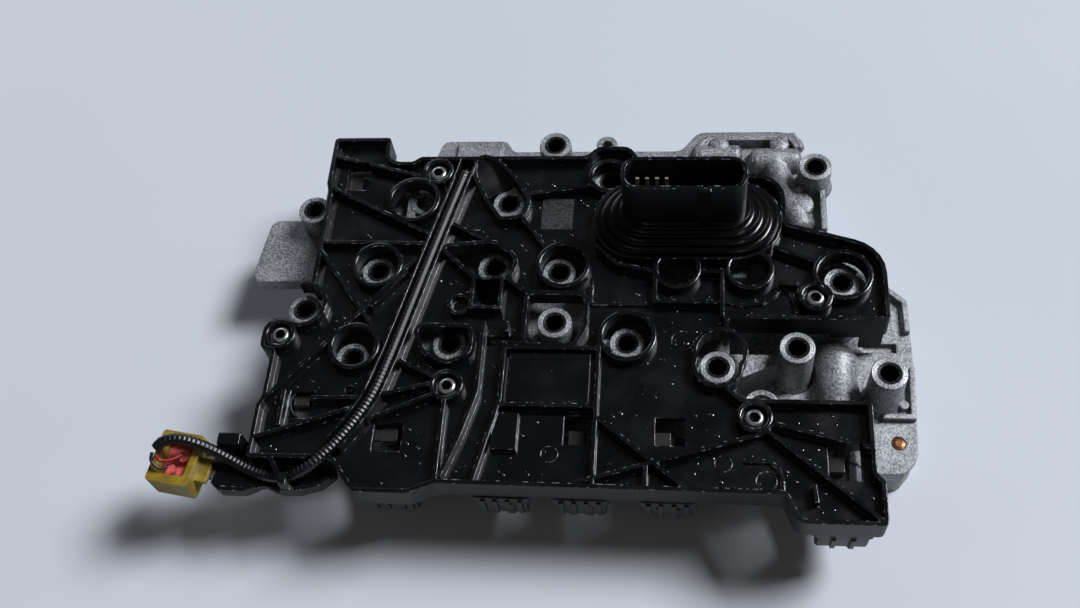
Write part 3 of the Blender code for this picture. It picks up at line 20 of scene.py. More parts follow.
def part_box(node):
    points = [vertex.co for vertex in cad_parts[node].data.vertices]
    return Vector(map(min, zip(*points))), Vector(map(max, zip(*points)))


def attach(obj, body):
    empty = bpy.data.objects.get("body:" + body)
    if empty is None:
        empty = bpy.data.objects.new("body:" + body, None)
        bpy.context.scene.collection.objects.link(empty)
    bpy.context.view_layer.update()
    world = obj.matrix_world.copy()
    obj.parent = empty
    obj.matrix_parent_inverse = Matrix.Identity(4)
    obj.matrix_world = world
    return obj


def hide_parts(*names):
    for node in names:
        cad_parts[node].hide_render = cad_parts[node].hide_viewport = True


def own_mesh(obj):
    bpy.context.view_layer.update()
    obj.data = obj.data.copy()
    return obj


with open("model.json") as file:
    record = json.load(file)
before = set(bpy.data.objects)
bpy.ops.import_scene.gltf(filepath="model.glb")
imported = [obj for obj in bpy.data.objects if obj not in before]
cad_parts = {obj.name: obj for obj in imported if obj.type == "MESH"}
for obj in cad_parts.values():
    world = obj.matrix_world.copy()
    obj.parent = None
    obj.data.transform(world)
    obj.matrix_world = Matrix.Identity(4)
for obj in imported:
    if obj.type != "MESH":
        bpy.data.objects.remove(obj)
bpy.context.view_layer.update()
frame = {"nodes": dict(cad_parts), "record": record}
BODY = "valve_body"
MM = 0.001

# %% [markdown]
# Places are easiest to read in millimetres from the bolt tower in the middle bay, as they were
# measured. One function moves them into the frame of the part.

# %% Places in the part's frame
PLAN_X, PLAN_Y = 7.555, -11.75
LOW_DECK, DECK, SKIN, RIB_TOP = 17.6, 27.0, 38.0, 42.0


def at(x, y, z=0.0):
    """A place in millimetres, measured in plan, as metres in the part's frame."""
    return np.array([x + PLAN_X, y + PLAN_Y, z]) * MM


# %% [markdown]
# Every new shape is a grid of points. Neighbours in the grid make four-sided faces, and a grid
# that runs round on itself is closed by joining its last row or column to its first.

# %% Turning grids of points into meshes
def grid_faces(rows, columns, wrap_rows, wrap_columns, first):
    """Corner numbers of the faces between neighbouring points of a grid."""
    i = np.arange(rows if wrap_rows else rows - 1)[:, None]
    j = np.arange(columns if wrap_columns else columns - 1)[None, :]
    i2, j2 = (i + 1) % rows, (j + 1) % columns
    corners = [i * columns + j, i * columns + j2, i2 * columns + j2, i2 * columns + j]
    return np.stack(np.broadcast_arrays(*corners), -1).reshape(-1, 4) + first


def make_piece(name, grids, finish, wrap_rows=False, wrap_columns=False, uvs=None, smooth=40):
    """One object from grids of points; its doubles are merged and its faces turned outwards."""
    points, faces, first = [], [], 0
    for grid in grids:
        rows, columns = grid.shape[:2]
        points.append(grid.reshape(-1, 3))
        faces.append(grid_faces(rows, columns, wrap_rows, wrap_columns, first))
        first += rows * columns
    points, faces = np.concatenate(points), np.concatenate(faces)
    mesh = bpy.data.meshes.new(name)
    mesh.from_pydata(points.tolist(), [], faces.tolist())
    if uvs is not None:
        layer = mesh.uv_layers.new(name="UVMap")
        layer.data.foreach_set("uv", uvs[faces.reshape(-1)].reshape(-1))
    bm = bmesh.new()
    bm.from_mesh(mesh)
    bmesh.ops.remove_doubles(bm, verts=bm.verts, dist=1e-7)
    bmesh.ops.recalc_face_normals(bm, faces=bm.faces)
    bm.to_mesh(mesh)
    bm.free()
    mesh.shade_smooth()
    mesh.set_sharp_from_angle(angle=math.radians(smooth))
    piece = bpy.data.objects.new(name, mesh)
    bpy.context.scene.collection.objects.link(piece)
    piece.data.materials.append(finish)
    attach(piece, BODY)
    return piece


SEGMENTS = 64


def turned(centre, profile):
    """Each (radius, height) of a closed profile goes round the upright axis at the centre."""
    around = np.linspace(0, 2 * np.pi, SEGMENTS, endpoint=False)
    radius, height = np.array(profile).T * MM
    x = centre[0] + radius[:, None] * np.cos(around)
    y = centre[1] + radius[:, None] * np.sin(around)
    z = np.broadcast_to(height[:, None], x.shape)
    return np.stack([x, y, z], -1)


# %% [markdown]
# ## Finishes
# Colours are written as they look on screen, and one function turns them to the linear values
# that the renderer works with. One more adds a node with its settings and its links, so that
# each finish reads as a list of what it is made of.

# %% Colour and node helpers
def linear(code):
    """A hex colour as linear red, green, blue and alpha."""
    parts = np.array([int(code[i : i + 2], 16) for i in (1, 3, 5)]) / 255
    low, high = parts / 12.92, ((parts + 0.055) / 1.055) ** 2.4
    return (*np.where(parts <= 0.04045, low, high).tolist(), 1.0)


def put(tree, kind, sockets=None, **settings):
    """Adds one node; a socket gets a value, or the output that is linked to it."""
    made = tree.nodes.new("ShaderNode" + kind)
    for key, value in settings.items():
        setattr(made, key, value)
    for key, value in (sockets or {}).items():
        if isinstance(value, bpy.types.NodeSocket):
            tree.links.new(value, made.inputs[key])
        else:
            made.inputs[key].default_value = value
    return made


def new_finish(name, **values):
    """A material with its shader's own values set; returns it, its nodes and the shader."""
    made = bpy.data.materials.new(name)
    made.use_nodes = True
    tree = made.node_tree
    shader = tree.nodes["Principled BSDF"]
    for key, value in values.items():
        shader.inputs[key.replace("_", " ")].default_value = value
    return made, tree, shader


def mixed(tree, factor, first, second):
    """The colour between two, as the factor says."""
    return put(tree, "Mix", {0: factor, 6: first, 7: second}, data_type="RGBA").outputs[2]


def ranged(tree, value, low, high, to_low, to_high):
    """The value moved from one range to another, and held inside it."""
    sockets = {"Value": value, "From Min": low, "From Max": high, "To Min": to_low, "To Max": to_high}
    return put(tree, "MapRange", sockets).outputs[0]


def mottle(tree, place, size_mm, detail=3.0, roughness=0.55):
    """Cloudy noise whose patches are about this wide."""
    sockets = {"Vector": place, "Scale": 1 / (size_mm * MM), "Detail": detail, "Roughness": roughness}
    return put(tree, "TexNoise", sockets).outputs[0]


def object_place(tree):
    """Places measured on the piece itself, in metres."""
    return put(tree, "TexCoord").outputs["Object"]


# %% [markdown]
# ** Oil-wet nylon.** The plate is glass-filled nylon, moulded almost black with a cold blue
# cast. It comes out of the oil, so a thin film lies on it: glossy where the oil has pooled,
# duller where it has run off, with small drops that catch the lamp. Fine pale dots and broken
# pale flecks along upward edges are painted glints in the colour.
# The Bevel node rounds the edges that the solid model leaves sharp, for the light only.

# %% Wet black nylon
def math_node(tree, operation, first, second=0.0):
    """One sum of two values, or of one where the operation takes one."""
    return put(tree, "Math", {0: first, 1: second}, operation=operation).outputs[0]


def facing_up(tree, low, high):
    """1 on faces that look up or down and 0 on walls, from the normal's upright part."""
    normal = put(tree, "TexCoord").outputs["Normal"]
    upright = put(tree, "SeparateXYZ", {"Vector": normal}).outputs["Z"]
    return ranged(tree, math_node(tree, "ABSOLUTE", upright), low, high, 0.0, 1.0)


def edge_share(tree, soft):
    """How far the rounded normal leans from the flat one: near 0 on faces, more at edges."""
    flat = put(tree, "NewGeometry").outputs["Normal"]
    lean = put(tree, "VectorMath", {0: flat, 1: soft}, operation="DOT_PRODUCT").outputs["Value"]
    return ranged(tree, lean, 0.995, 0.93, 0.0, 1.0)


def wet_nylon(name, dark, pale, edge_mm, glint_strength):
    """Gloss from a slow cloud; pale dots from Voronoi cells and broken pale flecks at edges are painted
    glints.
    """
    finish, tree, shader = new_finish(name, IOR=1.45, Coat_Roughness=0.05)
    place = object_place(tree)
    top = facing_up(tree, 0.4, 0.9)
    film = mottle(tree, place, 14)
    fine = mottle(tree, place, 0.45, 2.0)
    soft = put(tree, "Bevel", {"Radius": edge_mm * MM}, samples=4).outputs[0]
    # Pale dots on upward faces, in Voronoi cells: painted glints of oil.
    glint_cells = put(tree, "TexVoronoi", {"Vector": place, "Scale": 1 / (1.7 * MM), "Randomness": 1.0})
    chosen = ranged(tree, mottle(tree, place, 6), 0.60, 0.68, 0.0, 1.0)
    glint_specks = ranged(tree, glint_cells.outputs["Distance"], 0.03, 0.08, glint_strength, 0.0)
    glint_specks = math_node(tree, "MULTIPLY", glint_specks, chosen)
    glint_specks = math_node(tree, "MULTIPLY", glint_specks, top)
    # Broken pale flecks along upward edges: painted edge highlights.
    broken = ranged(tree, mottle(tree, place, 2.2, 2.5), 0.56, 0.64, 0.0, 0.8)
    rim = math_node(tree, "MULTIPLY", edge_share(tree, soft), broken)
    rim = math_node(tree, "MULTIPLY", rim, top)
    colour = mixed(tree, math_node(tree, "MAXIMUM", glint_specks, rim), linear(dark), linear(pale))
    tree.links.new(colour, shader.inputs["Base Color"])
    wet = ranged(tree, film, 0.35, 0.65, 0.12, 0.30)
    rough = put(tree, "Mix", {0: top, 2: 0.46, 3: wet}, data_type="FLOAT").outputs[0]
    tree.links.new(rough, shader.inputs["Roughness"])
    tree.links.new(top, shader.inputs["Coat Weight"])
    grain = put(tree, "Bump", {"Height": fine, "Normal": soft, "Strength": 0.06, "Distance": 0.1 * MM})
    tree.links.new(grain.outputs[0], shader.inputs["Normal"])
    tree.links.new(soft, shader.inputs["Coat Normal"])
    return finish


# Both nylons carry the painted glints: pale dots and pale edge flecks in the colour.
black_nylon = wet_nylon("moulded_glass_filled_nylon_oil_wet", "#05070b", "#c9d2de", 0.42, 0.8)
grey_nylon = wet_nylon("moulded_grey_nylon", "#2a2a29", "#8f959c", 0.3, 0.2)
print("nylon finishes:", black_nylon.name, grey_nylon.name)

# %% [markdown]
# **Die-cast aluminium.** Molten metal was shot into a steel mould, so the skin is even, pale
# and finely pebbled, with darker stains where oil stays in the pores. A face that was milled
# afterwards is brighter and shows the rings that the cutter left.

# %% Cast and milled aluminium
def cast_aluminium(name, pale, stain, rough_low, rough_high):
    """Grit of about 0.9 mm with slow clouds and a few bright grains as painted glints; pitted by the same
    grit.
    """
    finish, tree, shader = new_finish(name, Metallic=0.6)
    place = object_place(tree)
    clouds = ranged(tree, mottle(tree, place, 12, 3.0), 0.35, 0.65, -0.12, 0.12)
    grit = mottle(tree, place, 0.9, 3.0, 0.75)
    # A few bright grains in the colour: painted glints on the cast skin.
    painted_sparkle = ranged(tree, mottle(tree, place, 0.45, 1.0), 0.68, 0.76, 0.0, 0.8)
    shade = math_node(tree, "ADD", ranged(tree, grit, 0.38, 0.66, 0.0, 0.8), clouds)
    shade = math_node(tree, "ADD", shade, painted_sparkle)
    shade = math_node(tree, "MINIMUM", math_node(tree, "MAXIMUM", shade, 0.0), 1.0)
    tree.links.new(mixed(tree, shade, linear(stain), linear(pale)), shader.inputs["Base Color"])
    tree.links.new(ranged(tree, grit, 0.3, 0.7, rough_low, rough_high), shader.inputs["Roughness"])
    soft = put(tree, "Bevel", {"Radius": 0.9 * MM}, samples=4).outputs[0]
    pitted = put(tree, "Bump", {"Height": grit, "Normal": soft, "Strength": 0.8, "Distance": 0.25 * MM})
    tree.links.new(pitted.outputs[0], shader.inputs["Normal"])
    return finish


casting = cast_aluminium("die_cast_aluminium_oil_stained", "#bcc0c3", "#5a5d60", 0.38, 0.60)


def faced_aluminium():
    """The cutter's rings run round each tower's axis; inside 4.4 mm it broke the hole's edge. There and down
    the hole the colour turns almost black: painted shade.
    """
    finish, tree, shader = new_finish("faced_aluminium", Metallic=0.7, Roughness=0.42)
    place = put(tree, "UVMap", uv_map="UVMap").outputs[0]
    radius = put(tree, "SeparateXYZ", {"Vector": place}).outputs["Y"]
    grit = mottle(tree, object_place(tree), 0.5, 2.0)
    # Inside about 4.4 mm the colour goes almost black: painted shade of the broken edge and the hole.
    painted_chamfer_shade = ranged(tree, radius, 4.3, 4.6, 1.0, 0.0)
    shade = ranged(tree, grit, 0.40, 0.62, 0.0, 1.0)
    colour = mixed(tree, shade, linear("#56595c"), linear("#c3c6c9"))
    colour = mixed(tree, painted_chamfer_shade, colour, linear("#1c1d1f"))
    tree.links.new(colour, shader.inputs["Base Color"])
    rings = math_node(tree, "SINE", math_node(tree, "MULTIPLY", radius, 2 * math.pi / 0.45))
    cone = math_node(tree, "MULTIPLY", ranged(tree, radius, 3.3, 4.5, 0.0, 1.0), 12.0)
    height = math_node(tree, "ADD", rings, cone)
    ridges = put(tree, "Bump", {"Height": height, "Strength": 0.6, "Distance": 0.03 * MM})
    tree.links.new(ridges.outputs[0], shader.inputs["Normal"])
    return finish


faced = faced_aluminium()


def milled(name, pale, dark, ring_mm):
    """Turning marks: rings of light and dark whose spacing is the cutter's feed."""
    finish, tree, shader = new_finish(name, Metallic=0.9, Roughness=0.34)
    place = object_place(tree)
    streaks = mottle(tree, place, ring_mm, 2.0)
    colour = mixed(tree, ranged(tree, streaks, 0.35, 0.65, 0.0, 1.0), linear(dark), linear(pale))
    tree.links.new(colour, shader.inputs["Base Color"])
    ridges = put(tree, "Bump", {"Height": streaks, "Strength": 0.15, "Distance": 0.05 * MM})
    tree.links.new(ridges.outputs[0], shader.inputs["Normal"])
    return finish


zinc_steel = milled("zinc_plated_steel", "#d0d3d6", "#7c8084", 0.7)
drawn_steel = milled("drawn_steel_can", "#8b8d90", "#5f6164", 1.2)
rolled_steel = milled("rolled_steel_sheet", "#9a9ca0", "#6f7276", 2.0)
spring_steel = milled("hardened_spring_wire", "#8f9094", "#626367", 0.4)
anodised = milled("hard_anodised_spool", "#8e938f", "#6d726e", 0.8)
copper = milled("pressed_copper", "#b98a62", "#7e5537", 0.8)
print("metals:", casting.name, faced.name, zinc_steel.name)

# %% [markdown]
# **Rubber and the small connector.** Rubber is dull and soft at its edges. The parked plug is
# amber nylon, clear enough for light to enter and scatter, with pink silicone seals inside.

# %% Rubber, amber nylon and silicone
def plain_moulding(name, colour_code, other_code, patch_mm, **values):
    """Two close colours in soft patches, with edges rounded for the light and a faint grain."""
    finish, tree, shader = new_finish(name, **values)
    place = object_place(tree)
    clouds = ranged(tree, mottle(tree, place, patch_mm), 0.35, 0.65, 0.0, 1.0)
    colour = mixed(tree, clouds, linear(colour_code), linear(other_code))
    tree.links.new(colour, shader.inputs["Base Color"])
    soft = put(tree, "Bevel", {"Radius": 0.35 * MM}, samples=4).outputs[0]
    grain = mottle(tree, place, 0.5)
    bump = put(tree, "Bump", {"Height": grain, "Normal": soft, "Strength": 0.12, "Distance": 0.1 * MM})
    tree.links.new(bump.outputs[0], shader.inputs["Normal"])
    return finish


rubber = plain_moulding("moulded_rubber_oil_wet", "#060607", "#0b0b0d", 6, Roughness=0.16, IOR=1.5)
tinned_brass = plain_moulding("tinned_brass", "#b9b39c", "#8d8465", 1.5, Roughness=0.35, Metallic=0.4)
amber = plain_moulding(
    "amber_nylon_translucent",
    "#b39a35",
    "#8c7426",
    5,
    Roughness=0.28,
    IOR=1.53,
    Transmission_Weight=0.3,
    Subsurface_Weight=0.3,
    Subsurface_Radius=(0.004, 0.0025, 0.0008),
)
silicone = plain_moulding("pink_silicone", "#c9605a", "#9c3a34", 3, Roughness=0.4, IOR=1.41)
red_wire = plain_moulding("red_wire_insulation", "#9c1f1c", "#7a1512", 3, Roughness=0.35, IOR=1.5)
dark_wire = plain_moulding("dark_wire_insulation", "#2c1a1a", "#1c1011", 3, Roughness=0.35, IOR=1.5)
print("mouldings:", rubber.name, amber.name, silicone.name)

# %% Give each solid of the frame its finish
FINISHES = {
    "cast_aluminium": casting,
    "steel_sheet": rolled_steel,
    "spool_aluminium": anodised,
    "bolt_steel": zinc_steel,
    "spring_steel": spring_steel,
    "black_nylon": black_nylon,
    "grey_nylon": grey_nylon,
    "black_rubber": rubber,
    "can_steel": drawn_steel,
    "pin_brass": tinned_brass,
    "copper": copper,
    "yellow_nylon": amber,
    "pink_rubber": silicone,
    "dark_wire": dark_wire,
    "red_wire": red_wire,
}
slots = {part["node"]: part["material_slot"] for part in frame["record"]["subparts"]}
for name, solid in frame["nodes"].items():
    if slots[name] in FINISHES:
        solid.data.materials.clear()
        solid.data.materials.append(FINISHES[slots[name]])
print("finished solids:", sum(slot in FINISHES for slot in slots.values()))

# %% [markdown]
# ## Bolt towers
# Each clamping bolt passes through a round tower of the casting. The mould gave it a slightly
# flared foot, and a cutter faced its top and broke the edges of its hole. A profile turned
# round each tower's axis shows both. It is a closed loop, so its far side hides in the solid.

# %% Tower sleeves and their milled tops
OPEN_TOWERS = [(-7.2, 82.6, DECK), (95.7, 71.4, DECK), (57.6, -17.5, DECK), (-2.3, 0.0, DECK)]
BAY_TOWERS = [(86.0, -9.2, LOW_DECK), (117.5, -18.8, LOW_DECK)]
COVERED_TOWERS = [
    (-73.6, 24.6),
    (-78.2, -13.8),
    (-41.9, -7.2),
    (-27.8, 26.4),
    (-24.6, 56.9),
    (-2.4, 24.8),
    (24.6, -5.7),
    (103.5, 21.3),
    (15.5, 68.0),
]
SIDE_TOWERS = [(-104.4, 54.0), (-100.4, 7.0)]
OPEN_TOP, COVERED_TOP, EDGE_TOP, SHEET_TOP = 40.0, 35.2, 30.7, 13.7
RADIUS, HOLE = 6.46, 3.27

tower_list = [(x, y, foot, OPEN_TOP) for x, y, foot in OPEN_TOWERS + BAY_TOWERS]
tower_list += [(x, y, DECK, COVERED_TOP) for x, y in COVERED_TOWERS]
tower_list += [(x, y, SHEET_TOP + 0.5, COVERED_TOP) for x, y in SIDE_TOWERS]
tower_list += [(73.5, -28.0, LOW_DECK, EDGE_TOP)]


def sleeve_profile(foot, top):
    """Down the outside: a small round at the top, a long drafted side, a flared foot."""
    side = [(RADIUS - 0.5, top - 0.02), (RADIUS - 0.15, top - 0.12), (RADIUS, top - 0.5)]
    flare = [(RADIUS + 0.12, foot + 2.2), (RADIUS + 0.4, foot + 0.9), (RADIUS + 1.2, foot + 0.05)]
    return side + flare + [(RADIUS - 1.5, foot), (RADIUS - 1.5, top - 0.02)]


def face_profile(top):
    """Across the faced ring and down the hole, and back inside the tower's wall."""
    ring = [(5.2, SHEET_TOP), (5.2, top - 0.2), (RADIUS - 0.45, top - 0.2), (RADIUS - 0.3, top + 0.05)]
    hole = [(4.5, top + 0.06), (HOLE + 0.15, top + 0.06), (HOLE, top - 0.15), (HOLE, SHEET_TOP)]
    return ring + hole


def radius_uvs(profile):
    """(share of the way round, radius in millimetres) for each point of turned()."""
    around = np.linspace(0, 1, SEGMENTS, endpoint=False)
    radius = np.array(profile)[:, :1]
    return np.stack(np.broadcast_arrays(around[None, :], radius), -1).reshape(-1, 2)


sleeves = [turned(at(x, y), sleeve_profile(foot, top)) for x, y, foot, top in tower_list]
faces = [turned(at(x, y), face_profile(top)) for x, y, foot, top in tower_list]
make_piece("tower_sleeves", sleeves, casting, True, True)
ring_places = np.concatenate([radius_uvs(face_profile(top)) for x, y, foot, top in tower_list])
make_piece("tower_faces", faces, faced, True, True, uvs=ring_places)
print("towers dressed:", len(tower_list))

# %% [markdown]
# ## Collars of the plate
# The plate has a round collar wherever a bolt head or a spanner has to come through. The mould
# left a small round on each collar's rim. A turned ring with such a round covers the flat
# facets of the solid model.

# %% Collar rings
COLLARS = [
    (-62.0, 54.8, 9.0),
    (-72.6, 24.0, 8.4),
    (-76.6, -11.8, 8.2),
    (-0.4, 24.4, 8.8),
    (25.0, -6.0, 9.0),
    (69.5, 23.0, 7.4),
    (42.7, 23.0, 7.3),
    (103.4, 21.0, 9.3),
    (15.6, 66.0, 6.6),
]
SCREWS = [(-53.7, 68.6), (-106.0, -7.0), (-39.8, -27.2), (93.2, 11.5), (70.3, -37.4)]


def ring_profile(inner, outer, low, top, rim=0.5):
    """Up the inside, over a rim rounded by a quarter circle at each edge, and down outside."""
    turn = np.linspace(0, np.pi / 2, 5)
    first = [(inner + rim - rim * math.cos(a), top - rim + rim * math.sin(a)) for a in turn]
    last = [(outer - rim + rim * math.sin(a), top - rim + rim * math.cos(a)) for a in turn]
    middle = (inner + outer) / 2
    return [(middle, low), (inner, low)] + first + last + [(outer, SKIN - 0.2), (middle, SKIN - 0.2)]


rings = [turned(at(x, y), ring_profile(r * 0.975, r + 1.72, 35.4, RIB_TOP + 0.08)) for x, y, r in COLLARS]
rings += [turned(at(x, y), ring_profile(4.55, 6.3, SKIN - 0.1, RIB_TOP + 0.08)) for x, y in SCREWS]
make_piece("collar_rings", rings, black_nylon, True, True)
print("collar rings:", len(rings))

# %% [markdown]
# ## Screws
# Button-headed screws with a six-lobed socket hold the plate. The socket's wall is a circle
# whose radius swells six times on the way round: r = r0 (1 + a cos 6t).

# %% Six-lobed screws
HEAD_RADIUS, HEAD_LOW, HEAD_TOP = 3.5, 38.3, 41.1
SHANK_RADIUS, SHANK_LENGTH, SOCKET_RADIUS, LOBE_SHARE = 1.95, 14, 1.72, 0.13


def lobed_screw(centre):
    """A turned head; the rows that form its socket have the lobed radius."""
    around = np.linspace(0, 2 * np.pi, 72, endpoint=False)
    lobes = SOCKET_RADIUS * (1 + LOBE_SHARE * np.cos(6 * around))
    round_ = np.ones_like(around)
    rows = [
        (0.01 * round_, HEAD_LOW - SHANK_LENGTH),
        (SHANK_RADIUS * round_, HEAD_LOW - SHANK_LENGTH + 0.5),
        (SHANK_RADIUS * round_, HEAD_LOW),
        (HEAD_RADIUS * round_, HEAD_LOW),
        (HEAD_RADIUS * round_, HEAD_LOW + 1.5),
        ((HEAD_RADIUS - 0.25) * round_, HEAD_TOP - 0.55),
        ((HEAD_RADIUS - 0.75) * round_, HEAD_TOP - 0.12),
        ((HEAD_RADIUS - 1.2) * round_, HEAD_TOP),
        (lobes + 0.12, HEAD_TOP - 0.02),
        (lobes, HEAD_TOP - 0.2),
        (lobes * 0.95, HEAD_TOP - 1.7),
        (0.01 * round_, HEAD_TOP - 1.9),
    ]
    radius = np.array([row[0] for row in rows]) * MM
    height = np.array([row[1] for row in rows]) * MM
    x = centre[0] + radius * np.cos(around)
    y = centre[1] + radius * np.sin(around)
    return np.stack([x, y, np.broadcast_to(height[:, None], x.shape)], -1)


def socket_uvs(grid, centre):
    """(share of the way round, radius in millimetres) for each point of a head."""
    away = grid[..., :2] - centre[:2]
    turn = np.arctan2(away[..., 1], away[..., 0]) / (2 * np.pi)
    return np.stack([turn, np.hypot(away[..., 0], away[..., 1]) / MM], -1).reshape(-1, 2)


head_steel, tree, shader = new_finish("zinc_plated_screw_head", Metallic=0.9, Roughness=0.26)
place = put(tree, "UVMap", uv_map="UVMap").outputs[0]
radius = put(tree, "SeparateXYZ", {"Vector": place}).outputs["Y"]
grey = mixed(tree, mottle(tree, object_place(tree), 0.6, 2.0), linear("#8d9195"), linear("#e4e6e8"))
# Inside the socket's radius the colour goes almost black: painted shade in the recess.
painted_socket_shade = ranged(tree, radius, 1.78, 1.95, 1.0, 0.0)
tree.links.new(mixed(tree, painted_socket_shade, grey, linear("#0d0e10")), shader.inputs["Base Color"])
for i, place in enumerate(SCREWS):
    centre = at(*place)
    head = lobed_screw(centre)
    screw = make_piece(
        f"screw_{i + 1}", [head], head_steel, True, True, uvs=socket_uvs(head, centre)
    )
    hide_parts(f"plate_screw_{i + 1}")
print("screws:", len(SCREWS))

# %% [markdown]
# ## Main connector
# A rubber boot with stepped lips seals the plug's shroud where it passes through the gearbox
# case. Each level of the boot is a stadium, a rectangle with round ends, whose half width and
# half depth shrink as the lips climb. The shroud itself is a rounded rectangle with a key.

# %% The seal's lips
def stadium(centre, half_x, half_y, count=160):
    """Points round a rectangle with half-round ends: a core line moved out by half_y."""
    core = max(half_x - half_y, 0.0)
    around = np.linspace(0, 2 * np.pi, count, endpoint=False)
    x = centre[0] + np.where(np.cos(around) >= 0, core, -core) + half_y * np.cos(around)
    return np.stack([x, centre[1] + half_y * np.sin(around)], -1)


def boot_levels():
    """(half width, half depth, height) from the boot's foot to its top, four lips in all."""
    levels = [(30.0, 12.0, 42.45), (34.6, 16.6, 42.45)]
    for step in range(4):
        x, y, z = 34.6 - 3.5 * step, 16.6 - 2.2 * step, 42.5 + 2.2 * step
        levels += [(x, y, z + 0.9), (x - 0.35, y - 0.3, z + 1.45), (x - 1.0, y - 0.75, z + 1.5)]
        levels += [(x - 2.2, y - 1.5, z + 1.35), (x - 3.0, y - 1.95, z + 1.7), (x - 3.35, y - 2.15, z + 2.2)]
    return levels + [(21.6, 7.6, 51.25), (21.6, 7.6, 42.6)]


boot = np.array([[(*point, z) for point in stadium((46.0, 45.0), x, y)] for x, y, z in boot_levels()])
boot = boot * MM + at(0, 0)
seal = make_piece("connector_boot", [boot], rubber, True, True)
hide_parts("connector_seal")
print("boot levels:", len(boot))

# %% The shroud, with its key
KEY_X, SHROUD_TOP, SOCKET_FLOOR = 52.6, 72.0, 47.0


def keyed_outline(half_x, half_y, corner, key_half, key_depth):
    """A rounded rectangle, run round from the front wall's key, with the key's step in it."""
    turn = np.linspace(0, np.pi / 2, 13)
    corners = []
    for sx, sy, start in ((1, -1, -90), (1, 1, 0), (-1, 1, 90), (-1, -1, 180)):
        angle = math.radians(start) + turn
        x = sx * (half_x - corner) + corner * np.cos(angle)
        y = sy * (half_y - corner) + corner * np.sin(angle)
        corners.append(np.stack([x, y], -1))
    x0 = KEY_X - 45.0
    key = [
        (x0 - key_half, -half_y),
        (x0 - key_half, -half_y - key_depth),
        (x0 + key_half, -half_y - key_depth),
        (x0 + key_half, -half_y),
    ]
    return np.concatenate([key, *corners]) + (45.0, 45.0)


outer = keyed_outline(22.97, 7.42, 6.1, 2.25, 1.3)
rim = keyed_outline(22.72, 7.17, 5.85, 2.1, 1.05)
lip = keyed_outline(21.52, 5.97, 4.65, 0.95, 0.9)
inner = keyed_outline(21.25, 5.70, 4.4, 0.85, 0.8)
middle = keyed_outline(22.2, 6.6, 5.2, 1.6, 0.9)
levels = [(middle, 50.0), (outer, 50.0), (outer, SHROUD_TOP - 0.35), (rim, SHROUD_TOP + 0.02)]
levels += [(lip, SHROUD_TOP + 0.02), (inner, SHROUD_TOP - 0.35)]
levels += [(inner, SOCKET_FLOOR), (middle, SOCKET_FLOOR)]
shroud = np.array([[(*point, z) for point in line] for line, z in levels]) * MM + at(0, 0)
make_piece("shroud_skin", [shroud], black_nylon, True, True)
print("shroud top at", SHROUD_TOP, "mm")

# %% [markdown]
# ## The lead
# A braided sleeve guards the two wires that run in the plate's channel. A braid is two sets of
# threads wound in opposite helices that pass over and under each other. The tube's radius
# swells where a thread lies on top: the two helices' waves, multiplied, give the diamonds.

# %% The sleeve's route
LANE = 40.4
ROUTE = [
    (-43.6, 64.6),
    (-50.8, 35.0),
    (-58.2, 3.0),
    (-62.5, -15.5),
    (-66.8, -31.0),
    (-72.4, -42.5),
    (-78.4, -51.6),
]
LEAD_START = [(-42.3, 70.6, 34.4), (-42.3, 70.6, 36.8), (-42.6, 69.0, 38.9)]
LEAD_END = [
    (-84.5, -58.4, 40.4),
    (-89.5, -61.6, 39.2),
    (-95.0, -63.0, 37.2),
    (-103.0, -62.2, 36.9),
    (-109.5, -60.2, 37.4),
    (-115.5, -57.6, 38.9),
    (-121.5, -55.4, 41.4),
    (-127.5, -53.9, 44.3),
    (-133.5, -53.3, 46.3),
    (-138.6, -54.4, 46.8),
    (-141.6, -57.0, 45.8),
]


def through(places, count):
    """Evenly spaced points on the Catmull-Rom curve through the places, in metres."""
    knots = np.array([at(*place) for place in places])
    knots = np.concatenate([[2 * knots[0] - knots[1]], knots, [2 * knots[-1] - knots[-2]]])
    a, b, c, d = knots[:-3], knots[1:-2], knots[2:-1], knots[3:]
    t = np.linspace(0, 1, 24, endpoint=False)[None, :, None]
    a, b, c, d = (k[:, None, :] for k in (a, b, c, d))
    fine = (2 * b + (c - a) * t + (2 * a - 5 * b + 4 * c - d) * t**2 + (3 * b - a - 3 * c + d) * t**3) / 2
    fine = np.concatenate([fine.reshape(-1, 3), knots[-2:-1]])
    length = np.concatenate([[0], np.cumsum(np.linalg.norm(np.diff(fine, axis=0), axis=1))])
    want = np.linspace(0, length[-1], count)
    return np.stack([np.interp(want, length, fine[:, k]) for k in range(3)], -1), length[-1]


def frames_along(path):
    """Two unit vectors square to the path at each point, carried along without twist."""
    tangent = np.gradient(path, axis=0)
    tangent /= np.linalg.norm(tangent, axis=1, keepdims=True)
    side = np.zeros_like(path)
    start = np.cross(tangent[0], (0.3, 0.9, 0.1))
    side[0] = start / np.linalg.norm(start)
    for i in range(1, len(path)):
        moved = side[i - 1] - tangent[i] * side[i - 1].dot(tangent[i])
        side[i] = moved / np.linalg.norm(moved)
    return side, np.cross(tangent, side)


lead_path, lead_length = through(LEAD_START + [(x, y, LANE) for x, y in ROUTE] + LEAD_END, 2000)
print("lead sleeve length in mm:", round(lead_length * 1000, 1))

# %% The braid
SLEEVE_RADIUS, RELIEF, PITCH_MM, AROUND, END_ROUND = 2.1 * MM, 0.14 * MM, 1.6, 40, 0.25


